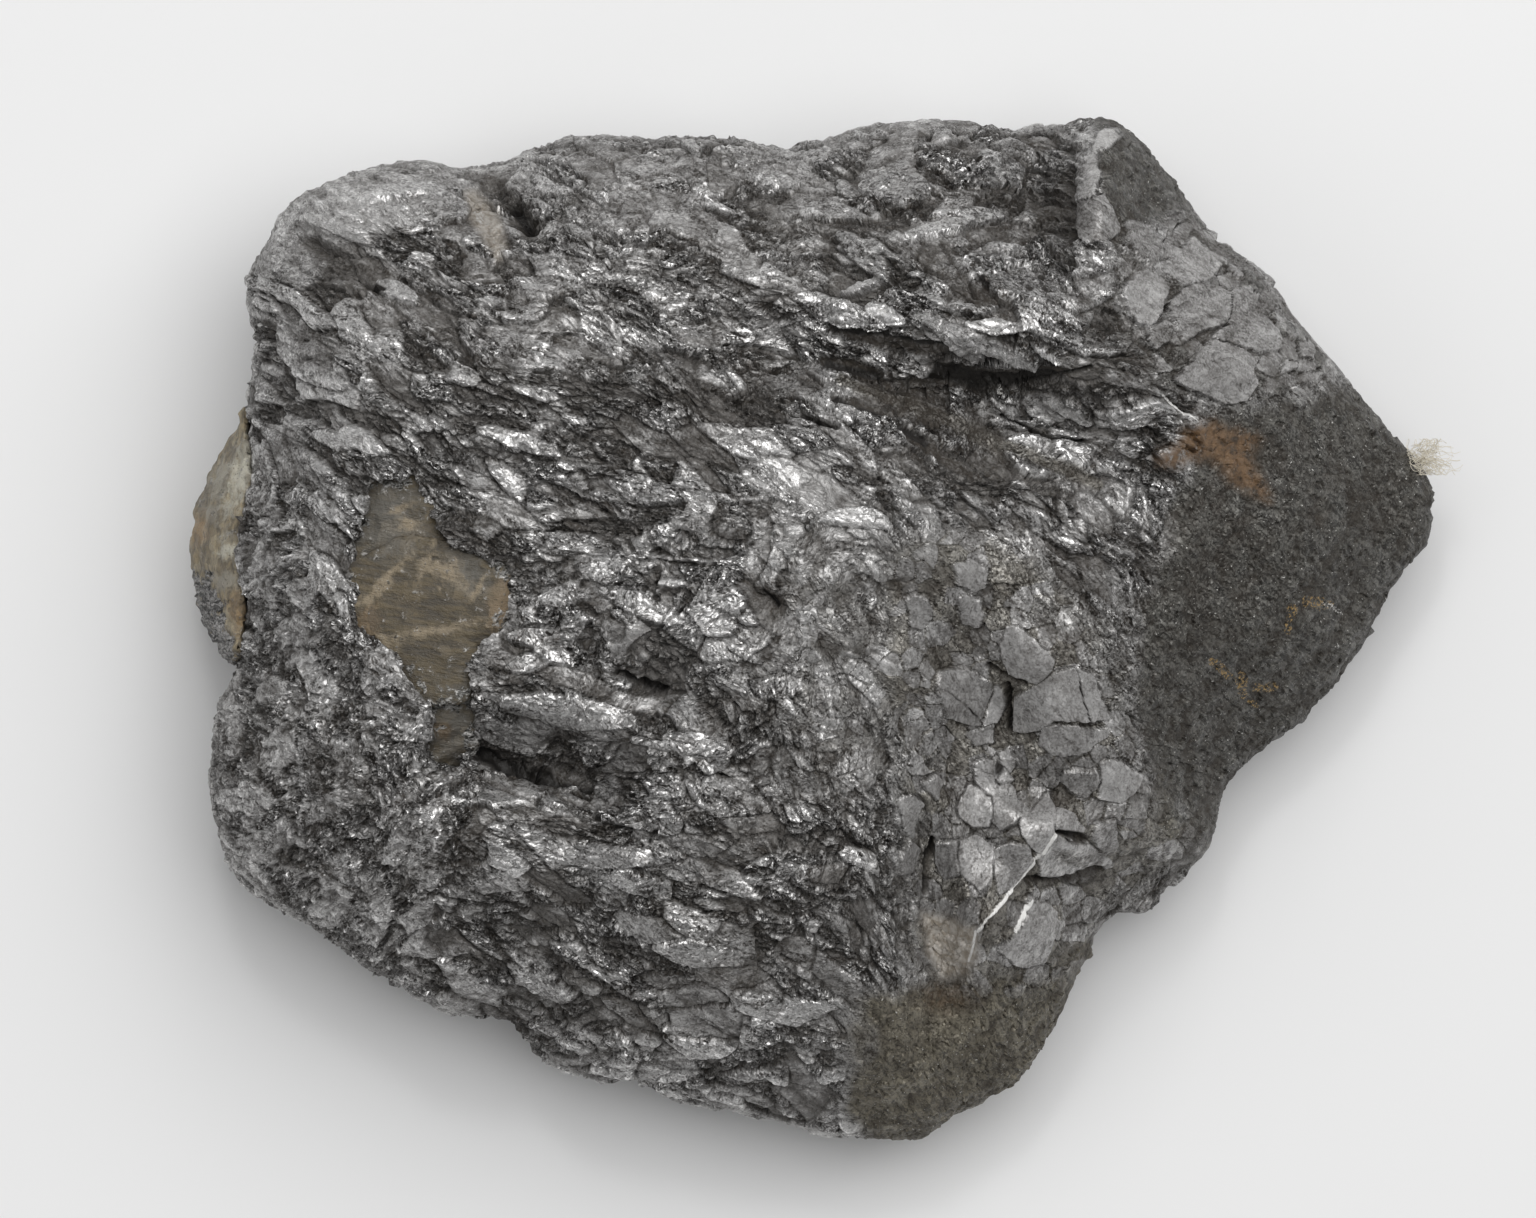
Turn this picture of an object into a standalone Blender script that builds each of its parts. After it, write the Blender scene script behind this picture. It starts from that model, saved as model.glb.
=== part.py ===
"""A hand specimen of vein graphite, lying on its broken underside.

The lump is one solid, shaped from its outline seen from above, a set of spot heights and a
few ridges, clefts and pits. Two pieces of feldspar sit in pockets in it, with a small gap
all round, and a wisp of packing lint hangs on its sharp right-hand tip.

Lengths are in millimetres until a mesh is finished, and in metres from then on.
The origin is the middle of the box round everything, at the height of the surface below.
"""

import math
import random

import bmesh
import bpy
import numpy as np
from mathutils import Vector, noise

MM = 0.001

# The lump's outline from above, clockwise from the top left corner: x, y and the rim's height.
OUTLINE = [
    (-55.0, 38.8, 22), (-53.7, 42.1, 23), (-50.3, 44.1, 23), (-45.7, 45.8, 24), (-38.7, 46.9, 25),
    (-35.7, 45.8, 23), (-31.1, 46.6, 21), (-24.8, 48.7, 23), (-20.8, 49.2, 24), (-17.3, 48.7, 24),
    (-12.3, 49.4, 24), (-3.0, 47.5, 23), (2.9, 49.6, 24), (6.9, 50.7, 25), (15.9, 51.0, 25),
    (20.2, 49.7, 22), (26.2, 50.4, 24), (28.6, 51.4, 27), (31.8, 49.6, 24), (35.8, 44.5, 21),
    (39.4, 38.9, 21), (43.9, 36.2, 20), (49.0, 29.8, 18), (56.4, 20.9, 15), (59.5, 17.6, 14),
    (62.3, 13.7, 13), (61.5, 8.6, 12), (58.4, 4.5, 11), (55.4, -1.0, 11), (51.6, -6.8, 10),
    (46.6, -11.4, 11), (43.9, -13.1, 11), (40.6, -17.0, 12), (39.7, -21.6, 13), (35.9, -25.8, 13),
    (33.3, -29.6, 13), (30.0, -28.5, 14), (27.9, -31.2, 13), (25.8, -36.0, 13), (24.1, -40.5, 12),
    (19.8, -46.5, 12), (14.5, -48.7, 13), (10.8, -51.4, 13), (3.5, -51.5, 14), (-2.9, -50.3, 15),
    (-11.2, -47.5, 16), (-17.6, -45.9, 16), (-25.2, -44.1, 17), (-31.3, -39.9, 17),
    (-38.7, -38.4, 17), (-43.7, -34.9, 17), (-49.8, -30.8, 18), (-57.4, -26.1, 18),
    (-59.5, -23.1, 18), (-61.0, -15.8, 19), (-60.1, -7.6, 19), (-58.1, -3.9, 20), (-60.7, -0.8, 17),
    (-62.4, 8.2, 15), (-61.8, 12.1, 15), (-57.5, 20.2, 19), (-56.6, 25.2, 22), (-56.1, 30.2, 23),
    (-57.6, 32.8, 22),
]

# Heights of the upper side: x, y and height, by the part of the lump that they describe.
SPOT_HEIGHTS = {
    "smooth knob": [(-49.6, 42.0, 29), (-43.6, 43.2, 32), (-37.6, 43.0, 32), (-41.6, 39.2, 36),
                    (-51.0, 37.0, 30), (-31.6, 42.2, 29)],
    "back flank": [(-21.6, 44.7, 32), (-11.6, 44.7, 32), (-2.6, 43.7, 31), (-19.6, 36.7, 39),
                   (-5.6, 36.7, 38), (11.4, 46.7, 33), (14.4, 41.7, 38), (5.4, 42.7, 35)],
    "peak and its ridge": [(23.4, 43.7, 30), (27.9, 47.7, 33), (26.9, 41.7, 38), (28.9, 32.7, 42),
                           (29.4, 22.7, 42), (32.4, 42.7, 30)],
    "smooth plates": [(33.4, 33.7, 38), (39.4, 30.7, 34), (46.4, 28.7, 26), (41.4, 22.7, 34)],
    "blade sheaf": [(4.4, 32.7, 43), (12.4, 33.7, 45), (21.4, 30.7, 45), (18.4, 14.7, 43)],
    "shoulder and fold": [(-7.6, 20.7, 46), (0.4, 14.7, 49), (8.4, 9.7, 49), (4.4, 0.7, 47),
                          (5.4, -9.3, 44), (6.4, -22.3, 39), (7.4, -33.3, 33), (7.4, -43.3, 24)],
    "left plateau": [(-51.6, 29.7, 33), (-41.6, 27.7, 40), (-26.6, 27.7, 43), (-11.6, 27.7, 43),
                     (-49.6, 15.7, 36), (-36.6, 14.7, 41), (-21.6, 14.7, 44), (-53.6, 2.7, 32),
                     (-40.0, 4.7, 40), (-25.6, 0.7, 43), (-11.6, 2.7, 46), (-17.6, -9.3, 44),
                     (-31.6, -9.3, 40)],
    "lower left lobe": [(-51.6, -9.3, 33), (-55.6, -19.3, 27), (-46.6, -22.3, 32),
                        (-36.6, -22.3, 36), (-41.6, -30.3, 27), (-31.6, -31.3, 31)],
    "front flank": [(-21.6, -23.3, 38), (-9.6, -23.3, 40), (-19.6, -35.3, 31), (-7.6, -35.3, 33),
                    (-16.6, -42.3, 23), (-3.6, -45.3, 22)],
    "valley beyond the fold": [(15.4, 4.7, 44), (14.4, -7.3, 39), (11.4, -17.3, 36),
                               (11.4, -29.3, 32), (14.4, -38.3, 26)],
    "broken plates": [(24.4, -5.3, 39), (19.4, -12.3, 37), (29.9, -14.3, 33), (22.4, -21.3, 34),
                      (23.4, -30.3, 26), (35.4, -21.3, 21)],
    "granular face": [(31.4, 10.7, 40), (33.4, 0.7, 35), (40.4, 10.7, 34), (42.4, -1.3, 27),
                      (50.4, 8.7, 25), (56.4, 12.7, 19), (36.4, -9.3, 27), (49.4, -1.3, 20),
                      (53.4, 18.7, 21)],
}

# Ridges (height above zero) and clefts (below): path, reach to its left, reach to its right, height.
STROKES = {
    "long cleft": ([(1.0, 28.0), (7.4, 25.6), (14.4, 22.8), (22.4, 21.0), (27.4, 18.2)], 3.6, 7.5, -6.0),
    "lip over the long cleft": ([(2.4, 31.6), (8.4, 31.0), (15.4, 28.2), (23.4, 26.4)], 3.4, 3.4, 2.0),
    "lower lip": ([(-1.0, 22.0), (7.4, 19.4), (15.4, 15.4), (22.4, 13.4)], 3.0, 3.4, 2.0),
    "pocket behind the knob": ([(-32.5, 44.6), (-30.8, 40.6)], 3.0, 3.0, -4.5),
    "pocket beside the peak": ([(23.4, 50.0), (22.0, 44.0), (22.4, 38.4)], 3.4, 4.0, -4.4),
    "edge of the peak": ([(28.0, 51.0), (26.8, 44.0), (26.8, 37.0)], 3.4, 2.2, 2.6),
    "step under the knob": ([(-54.0, 37.0), (-44.0, 36.0), (-38.0, 37.0)], 2.6, 4.0, -3.2),
    "deep slot": ([(-35.0, -13.4), (-28.0, -13.4), (-22.6, -15.6)], 3.0, 2.6, -6.0),
    "slot under the left crest": ([(-22.6, -2.6), (-15.6, -7.6)], 2.4, 2.4, -2.8),
    "front cleft": ([(-33.0, -27.6), (-30.0, -33.0), (-27.1, -41.2)], 3.0, 2.6, -4.4),
    "short front cleft": ([(-22.6, -26.3), (-17.6, -34.0)], 2.6, 2.4, -3.4),
    "crack beyond the fold": ([(10.6, -23.0), (11.8, -31.0), (12.3, -38.5)], 2.6, 2.2, -3.6),
    "gap between the plates": ([(14.6, -1.0), (17.6, -8.0), (19.4, -15.0), (26.4, -17.6)], 2.6, 2.4, -3.8),
    "bright edge": ([(15.6, -30.0), (20.6, -23.6), (24.6, -19.0)], 2.2, 3.0, 2.6),
    "slot under the plates": ([(21.8, -26.0), (29.4, -25.6), (35.4, -24.4)], 2.4, 2.4, -4.4),
}

# The upper side is a grid of this many cells, and the flank has this many rows.
CELLS_X, CELLS_Y, FLANK_ROWS = 54, 46, 7
TOP_SHARE = 0.93  # how far out the upper side reaches, as a share of the outline's radius
# The flank from the upper side down: share of the outline's radius, and share of the rim's height.
FLANK = [(0.93, 1.0), (0.975, 0.97), (1.0, 0.84), (0.995, 0.64), (0.965, 0.42), (0.91, 0.20),
         (0.84, 0.06), (0.77, 0.0)]
BASE_DIP = -0.9  # mean depth of the underside before it is cut off flat at zero
BASE_ROUGHNESS = 2.2
UNDERSIDE_TOP = 2.6  # faces lower than this are the underside's, and get fewer and larger facets

# The cleavage flakes of the upper side: spacing, length over width, and how far they step and tilt.
FLAKE_SPACING, FLAKE_STRETCH, FLAKE_STEP = 6.2, 2.3, 1.5
TILT_ACROSS, TILT_ALONG = 0.44, 0.12
FLAKE_BLEND = 0.3  # how far the step between two flakes spreads
FLAKE_SEED = 11
LUMP_SIZE, LUMP_HEIGHT = 9.0, 1.3
EDGE_WEAR = 0.4  # how much the sharpest steps are rubbed down
BLOCK_SIZE, BLOCK_STEP = 9.0, 1.9  # broken blocks of the flank

GAP = 0.3  # clearance round each inset piece
STONE = "graphite_mass"

# Feldspar on the upper side: outline of each cleavage step, and how far it lies under the graphite.
INCLUSION_DEPTH = 9.0
INCLUSION_STEPS = {
    "tan block": ([(-45.2, 5.4), (-40.6, 8.0), (-34.4, 6.8), (-31.0, 5.2), (-32.0, 0.6), (-34.8, -1.2),
                   (-35.2, -6.2), (-38.6, -6.8), (-41.6, -2.0), (-44.6, 0.4)], 0.5),
    "upper block": ([(-45.4, 5.6), (-43.8, 13.8), (-40.0, 14.6), (-38.6, 11.8), (-37.8, 8.8),
                     (-36.8, 7.6), (-40.8, 6.6)], 1.3),
    "foot": ([(-38.6, -5.6), (-34.9, -5.4), (-34.2, -10.6), (-35.8, -13.4), (-38.0, -12.6),
              (-37.2, -9.0)], 1.9),
}
# Feldspar on the left flank: a wedge that the lump's surface cuts off.
WEDGE_OUTLINE = [(-66.0, 24.0), (-57.3, 21.6), (-56.6, 14.0), (-57.0, 6.6), (-57.4, 1.0), (-57.9, -3.2),
                 (-66.0, -4.0)]
WEDGE_HEIGHTS = (3.2, 24.0)

LINT_MIDDLE = (62.6, 17.2, 13.0)
LINT_SIZE = (4.6, 3.4, 1.6)
LINT_TURN = -35.0

COLOURS = {
    STONE: ((0.085, 0.082, 0.080), 0.42, 0.65),
    "feldspar_inclusion": ((0.22, 0.18, 0.13), 0.55, 0.0),
    "feldspar_wedge": ((0.30, 0.25, 0.18), 0.55, 0.0),
    "lint_wisp": ((0.68, 0.62, 0.52), 0.95, 0.0),
}


def clear_scene():
    for obj in list(bpy.data.objects):
        bpy.data.objects.remove(obj, do_unlink=True)


def collection(name):
    found = bpy.data.collections.new(name)
    bpy.context.scene.collection.children.link(found)
    return found


def material(name):
    colour, roughness, metallic = COLOURS[name]
    made = bpy.data.materials.new(name)
    made.use_nodes = True
    shader = made.node_tree.nodes["Principled BSDF"]
    shader.inputs["Base Color"].default_value = (*colour, 1.0)
    shader.inputs["Roughness"].default_value = roughness
    shader.inputs["Metallic"].default_value = metallic
    return made


def object_from(name, shape, where):
    """The bmesh as an object, in metres."""
    bmesh.ops.recalc_face_normals(shape, faces=shape.faces)
    bmesh.ops.scale(shape, vec=(MM, MM, MM), verts=shape.verts)
    mesh = bpy.data.meshes.new(name)
    shape.to_mesh(mesh)
    shape.free()
    obj = bpy.data.objects.new(name, mesh)
    where.objects.link(obj)
    return obj


def smoothstep(low, high, value):
    share = min(1.0, max(0.0, (value - low) / (high - low)))
    return share * share * (3.0 - 2.0 * share)


class Outline:
    """The outline as a radius for each direction from the origin."""

    def __init__(self, points):
        polar = sorted((math.atan2(y, x), math.hypot(x, y), z) for x, y, z in points)
        angles, radii, heights = zip(*polar)
        turn = 2 * math.pi
        self.angles = np.array([angles[-1] - turn, *angles, angles[0] + turn])
        self.radii = np.array([radii[-1], *radii, radii[0]])
        self.heights = np.array([heights[-1], *heights, heights[0]])

    def radius(self, angle):
        return float(np.interp(angle, self.angles, self.radii))

    def height(self, angle):
        return float(np.interp(angle, self.angles, self.heights))


class HeightMap:
    """A thin plate bent through the rim and the spot heights."""

    def __init__(self, spots):
        spots = np.array(spots, float)
        self.points, heights = spots[:, :2], spots[:, 2]
        count = len(spots)
        bend = self.spline(np.linalg.norm(self.points[:, None] - self.points[None], axis=2))
        plane = np.hstack([np.ones((count, 1)), self.points])
        system = np.zeros((count + 3, count + 3))
        system[:count, :count] = bend
        system[:count, count:] = plane
        system[count:, :count] = plane.T
        self.weights = np.linalg.solve(system, np.append(heights, np.zeros(3)))

    @staticmethod
    def spline(distance):
        return np.where(distance > 0, distance**2 * np.log(np.maximum(distance, 1e-9)), 0.0)

    def at(self, x, y):
        away = self.spline(np.hypot(self.points[:, 0] - x, self.points[:, 1] - y))
        return float(away @ self.weights[:-3] + self.weights[-3:] @ (1.0, x, y))


OUTLINE_CURVE = Outline(OUTLINE)
HEIGHTS = HeightMap(OUTLINE + [spot for group in SPOT_HEIGHTS.values() for spot in group])


def distance_to_path(x, y, path):
    """How far a point is from a path, and a number above zero where it lies on the path's left."""
    here, nearest, side = Vector((x, y)), math.inf, 0.0
    for start, end in zip(path, path[1:]):
        start, along = Vector(start), Vector(end) - Vector(start)
        share = min(1.0, max(0.0, (here - start).dot(along) / along.length_squared))
        away = here - start - along * share
        if away.length < nearest:
            nearest, side = away.length, along.x * away.y - along.y * away.x
    return nearest, side


def stroke_height(x, y):
    """All the ridges and clefts together, each a bell across its path."""
    wander = 0.9 * noise.noise(Vector((x / 4.0, y / 4.0, 5.0)))
    total = 0.0
    for path, left_reach, right_reach, height in STROKES.values():
        away, side = distance_to_path(x, y, path)
        reach = left_reach if side > 0 else right_reach
        total += height * math.exp(-(max(0.0, away + wander) / reach) ** 2)
    return total


def past_fold(x, y):
    """From 0 on the left of the fold to 1 where the blades run down the lump."""
    return smoothstep(6.0, 13.0, x) * smoothstep(16.0, 0.0, y)


def smooth_face(x, y):
    """From 0 on the bladed graphite to 1 on the smooth plates and the granular face."""
    return smoothstep(26.0, 33.0, x) * smoothstep(-20.0, -8.0, y)


def make_flakes():
    """Flakes on a jittered grid: place, direction, step up or down, and slopes along and across."""
    dice = random.Random(FLAKE_SEED)
    flakes = []
    reach = round(70.0 / FLAKE_SPACING)
    for row in range(-reach, reach + 1):
        for column in range(-reach, reach + 1):
            x = (column + dice.uniform(-0.42, 0.42) + 0.5 * (row % 2)) * FLAKE_SPACING
            y = (row + dice.uniform(-0.42, 0.42)) * FLAKE_SPACING
            calm = 1.0 - 0.55 * smooth_face(x, y)
            turn = math.radians(-12.0 - 68.0 * past_fold(x, y) + dice.gauss(0.0, 9.0))
            step = dice.uniform(-FLAKE_STEP, FLAKE_STEP) * calm
            along = dice.uniform(-TILT_ALONG, TILT_ALONG) * calm
            across = dice.uniform(-TILT_ACROSS, TILT_ACROSS) * calm
            flakes.append((x, y, math.cos(turn), math.sin(turn), step, along, across))
    return np.array(flakes)


FLAKES = make_flakes()


def flake_height(x, y):
    """Height of the flake that a point lies on, blended with its neighbour at the edge."""
    dx, dy = x - FLAKES[:, 0], y - FLAKES[:, 1]
    along = dx * FLAKES[:, 2] + dy * FLAKES[:, 3]
    across = dy * FLAKES[:, 2] - dx * FLAKES[:, 3]
    away = np.hypot(along / FLAKE_STRETCH, across)
    heights = FLAKES[:, 4] + along * FLAKES[:, 5] + across * FLAKES[:, 6]
    weights = np.exp((away.min() - away) / FLAKE_BLEND)
    return float(weights @ heights / weights.sum())


def relief(x, y):
    """Flakes, and the rounder lumps under them."""
    lump = noise.noise(Vector((x, y, 0.0)) / LUMP_SIZE + Vector((31.0, 7.0, 3.0)))
    return flake_height(x, y) + LUMP_HEIGHT * lump


def smooth_height(x, y):
    return HEIGHTS.at(x, y) + stroke_height(x, y)


def disc_from_square(u, v):
    """The square's point as a direction and a share of the radius, with squares becoming rings."""
    share = max(abs(u), abs(v))
    if share < 1e-9:
        return 0.0, 0.0
    if abs(u) >= abs(v):
        angle = (math.pi / 4) * (v / u) + (math.pi if u < 0 else 0.0)
    else:
        angle = math.pi / 2 - (math.pi / 4) * (u / v) + (math.pi if v < 0 else 0.0)
    return math.atan2(math.sin(angle), math.cos(angle)), share


def upper_point(angle, share):
    reach = OUTLINE_CURVE.radius(angle) * share
    x, y = reach * math.cos(angle), reach * math.sin(angle)
    return Vector((x, y, smooth_height(x, y) + relief(x, y)))


def flank_point(angle, row):
    """A point of the side, from the upper side's edge at row 0 to the underside's at the last row."""
    share, drop = FLANK[row]
    if row == 0:
        return upper_point(angle, share)
    edge, rim = upper_point(angle, TOP_SHARE), OUTLINE_CURVE.height(angle)
    reach = OUTLINE_CURVE.radius(angle) * share
    x, y = reach * math.cos(angle), reach * math.sin(angle)
    z = rim * drop + (edge.z - rim) * max(0.0, 1.0 - (row / 3.0)) ** 1.5
    block = noise.voronoi(Vector((x, y, z * 1.5)) / BLOCK_SIZE)[1][0]
    bulge = BLOCK_STEP * noise.cell(block * 7.3) * smoothstep(2.0, 4.0, row)
    return Vector((x - bulge * math.cos(angle), y - bulge * math.sin(angle), max(0.0, z)))


def under_point(angle, share):
    reach = OUTLINE_CURVE.radius(angle) * share
    x, y = reach * math.cos(angle), reach * math.sin(angle)
    hollow = noise.noise(Vector((x, y, 0.0)) / 13.0 + Vector((3.0, 8.0, 1.0)))
    middle = smoothstep(0.77, 0.62, share)
    return Vector((x, y, max(0.0, (BASE_DIP + BASE_ROUGHNESS * 2.0 * hollow) * middle)))


def stone_point(place):
    """Where a point of the starting block, from -1 to 1 each way, ends up on the lump."""
    u, v, w = place
    if w > 0.9999:
        angle, share = disc_from_square(u, v)
        return upper_point(angle, share * TOP_SHARE)
    if w < -0.9999:
        angle, share = disc_from_square(u, v)
        return under_point(angle, share * FLANK[-1][0])
    angle, _ = disc_from_square(u, v)
    return flank_point(angle, round((1.0 - w) / 2.0 * FLANK_ROWS))


def split_edges(shape, axis, cells):
    along = [e for e in shape.edges if abs(e.verts[0].co[axis] - e.verts[1].co[axis]) > 1.9]
    bmesh.ops.subdivide_edges(shape, edges=along, cuts=cells - 1, use_grid_fill=True)


def make_stone(where):
    """The lump: a block whose faces are cut into a grid, moved onto the lump's surface."""
    shape = bmesh.new()
    bmesh.ops.create_cube(shape, size=2.0)
    for axis, cells in enumerate((CELLS_X, CELLS_Y, FLANK_ROWS)):
        split_edges(shape, axis, cells)
    for vert in shape.verts:
        vert.co = stone_point(vert.co)
    upper = [v for v in shape.verts if v.co.z > UNDERSIDE_TOP]
    bmesh.ops.smooth_vert(shape, verts=upper, factor=EDGE_WEAR, use_axis_z=True)
    under = [f for f in shape.faces if max(v.co.z for v in f.verts) < UNDERSIDE_TOP]
    edges = list({e for f in under for e in f.edges})
    verts = list({v for f in under for v in f.verts})
    bmesh.ops.dissolve_limit(shape, angle_limit=math.radians(5.0), verts=verts, edges=edges)
    bmesh.ops.triangulate(shape, faces=shape.faces)
    return object_from(STONE, shape, where)


def outline_grown(points, by):
    """The outline moved out on all sides."""
    pts = [Vector(p) for p in points]
    area = sum(a.x * b.y - b.x * a.y for a, b in zip(pts, pts[1:] + pts[:1]))
    side = 1.0 if area > 0 else -1.0
    grown = []
    for before, here, after in zip(pts[-1:] + pts[:-1], pts, pts[1:] + pts[:1]):
        first = Vector((here.y - before.y, before.x - here.x)).normalized() * side
        second = Vector((after.y - here.y, here.x - after.x)).normalized() * side
        middle = (first + second).normalized()
        grown.append(here + middle * by / max(0.5, middle.dot(first)))
    return grown


def prism(name, outline, top, bottom, where):
    """A block on a flat outline. top and bottom give the height of a point."""
    shape = bmesh.new()
    base = shape.faces.new([shape.verts.new((x, y, 0.0)) for x, y in outline])
    raised = bmesh.ops.extrude_face_region(shape, geom=[base])["geom"]
    upper = [g for g in raised if isinstance(g, bmesh.types.BMVert)]
    for vert in shape.verts:
        level = top if vert in upper else bottom
        vert.co.z = level(vert.co.x, vert.co.y)
    bmesh.ops.triangulate(shape, faces=shape.faces)
    return object_from(name, shape, where)


def apply_boolean(obj, other, operation):
    """Cuts obj with other, or joins them, and keeps the result as obj's mesh."""
    modifier = obj.modifiers.new(operation.lower(), "BOOLEAN")
    modifier.operation, modifier.object, modifier.solver = operation, other, "EXACT"
    bpy.context.view_layer.update()
    graph = bpy.context.evaluated_depsgraph_get()
    mesh = bpy.data.meshes.new_from_object(obj.evaluated_get(graph))
    obj.modifiers.clear()
    obj.data = mesh


def make_inclusion(stone, parts, cutters):
    """Feldspar flush with the upper side: cleavage steps, joined, in a pocket of the same outline."""
    blocks = []
    for name, (outline, recess) in INCLUSION_STEPS.items():
        middle = sum((Vector(p) for p in outline), Vector((0, 0))) / len(outline)
        floor = smooth_height(*middle) - INCLUSION_DEPTH

        def top(x, y, recess=recess):
            return smooth_height(x, y) - recess

        blocks.append(prism(name, outline, top, lambda x, y, floor=floor: floor, cutters))
        pocket = prism(name + " pocket", outline_grown(outline, GAP), lambda x, y: 80.0,
                       lambda x, y, floor=floor: floor - GAP, cutters)
        apply_boolean(stone, pocket, "DIFFERENCE")
    piece = blocks[0]
    for other in blocks[1:]:
        apply_boolean(piece, other, "UNION")
    cutters.objects.unlink(piece)
    parts.objects.link(piece)
    piece.name = "feldspar_inclusion"
    return piece


def make_wedge(stone, parts, cutters):
    """Feldspar on the left flank: what a block shares with the lump, with the gap cut between them."""
    low, high = WEDGE_HEIGHTS
    block = prism("wedge block", WEDGE_OUTLINE, lambda x, y: high, lambda x, y: low, cutters)
    pocket = prism("wedge pocket", outline_grown(WEDGE_OUTLINE, GAP), lambda x, y: high + GAP,
                   lambda x, y: low - GAP, cutters)
    piece = bpy.data.objects.new("feldspar_wedge", stone.data.copy())
    parts.objects.link(piece)
    apply_boolean(piece, block, "INTERSECT")
    apply_boolean(stone, pocket, "DIFFERENCE")
    return piece


def make_lint(where):
    """A flattened tuft of lint, with its narrow end against the tip of the lump."""
    shape = bmesh.new()
    bmesh.ops.create_icosphere(shape, subdivisions=3, radius=0.5)
    turn = math.radians(LINT_TURN)
    for vert in shape.verts:
        x, y, z = vert.co
        taper = 0.55 + 0.45 * smoothstep(-0.5, 0.3, x)
        lumpy = 1.0 + 0.35 * noise.noise(vert.co * 5.0)
        x, y, z = x * LINT_SIZE[0] * lumpy, y * LINT_SIZE[1] * taper * lumpy, z * LINT_SIZE[2] * lumpy
        vert.co = Vector((x * math.cos(turn) - y * math.sin(turn), x * math.sin(turn) + y * math.cos(turn), z))
        vert.co += Vector(LINT_MIDDLE)
    return object_from("lint_wisp", shape, where)


def finish(piece):
    piece.data.materials.clear()
    piece.data.materials.append(material(piece.name))
    piece.data.shade_smooth()
    piece.data.set_sharp_from_angle(angle=math.radians(40.0))


def centre(pieces):
    """Moves everything so that the origin is the middle of the box round it, at its foot."""
    corners = np.array([v.co for piece in pieces for v in piece.data.vertices])
    low, high = corners.min(axis=0), corners.max(axis=0)
    shift = Vector((-(low[0] + high[0]) / 2, -(low[1] + high[1]) / 2, -low[2]))
    for piece in pieces:
        for vert in piece.data.vertices:
            vert.co += shift


def main():
    clear_scene()
    parts, cutters = collection("graphite specimen"), collection("cutters")
    stone = make_stone(parts)
    pieces = [stone, make_inclusion(stone, parts, cutters), make_wedge(stone, parts, cutters),
              make_lint(parts)]
    for helper in cutters.objects:
        helper.hide_render, helper.display_type = True, "WIRE"
    for piece in pieces:
        finish(piece)
    centre(pieces)


main()
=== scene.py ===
import math

import bmesh
import bpy
import numpy as np
from mathutils import Matrix, Vector


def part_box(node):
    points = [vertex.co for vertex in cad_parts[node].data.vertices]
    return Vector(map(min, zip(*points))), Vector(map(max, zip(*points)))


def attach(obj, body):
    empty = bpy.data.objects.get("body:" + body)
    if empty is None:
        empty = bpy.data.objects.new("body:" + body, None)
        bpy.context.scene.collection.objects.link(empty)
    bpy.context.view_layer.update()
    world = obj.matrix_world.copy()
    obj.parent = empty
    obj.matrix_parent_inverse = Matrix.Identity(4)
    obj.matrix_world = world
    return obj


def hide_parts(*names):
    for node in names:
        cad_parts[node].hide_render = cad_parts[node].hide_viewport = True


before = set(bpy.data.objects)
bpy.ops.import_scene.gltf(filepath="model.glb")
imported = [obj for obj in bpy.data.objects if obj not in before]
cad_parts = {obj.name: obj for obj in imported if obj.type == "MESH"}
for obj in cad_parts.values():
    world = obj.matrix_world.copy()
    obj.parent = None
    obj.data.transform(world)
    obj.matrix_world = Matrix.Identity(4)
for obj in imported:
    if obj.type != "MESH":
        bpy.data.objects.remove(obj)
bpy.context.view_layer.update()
mm = 0.001

# Places on the lump are millimetres from its middle, seen from above: x to the sharp tip, y to the peak.
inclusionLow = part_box("feldspar_inclusion")[0]
middle = np.array([inclusionLow[0] / mm + 45.4, inclusionLow[1] / mm + 13.4])

# The frame is frameWidth metres across at the height sharpAt, and aims at a place on the lump.
camera = {"height": 1.8, "frameWidth": 0.1536, "sharpAt": 0.020, "aim": (-4.8, 1.8), "sensor": 36.0}
stage = {"size": 6.0, "colour": 0.805, "roughness": 0.9, "shine": 0.1, "roomLight": 0.24}
lamps = {  # place in metres from the lump, size and power of each soft box
    "overhead": ((0.30, 0.46, 1.15), 1.4, 16.9),
    "leftFill": ((-0.90, 0.15, 0.90), 0.9, 2.0),
    "glint": ((-0.10, 0.60, 1.1), 0.14, 1.0),
}


def objectFrom(name, shape):
    mesh = bpy.data.meshes.new(name)
    shape.to_mesh(mesh)
    shape.free()
    obj = bpy.data.objects.new(name, mesh)
    bpy.context.scene.collection.objects.link(obj)
    return obj


def makeCamera():
    data = bpy.data.cameras.new("camera")
    data.sensor_width = camera["sensor"]
    data.lens = camera["sensor"] * (camera["height"] - camera["sharpAt"]) / camera["frameWidth"]
    data.clip_start, data.clip_end = 0.05, 20.0
    obj = bpy.data.objects.new("camera", data)
    obj.location = (*(middle + camera["aim"]) * mm, camera["height"])
    bpy.context.scene.collection.objects.link(obj)
    bpy.context.scene.camera = obj


def newMaterial(name):
    made = bpy.data.materials.new(name)
    made.use_nodes = True
    return made, made.node_tree, made.node_tree.nodes["Principled BSDF"]


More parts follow.
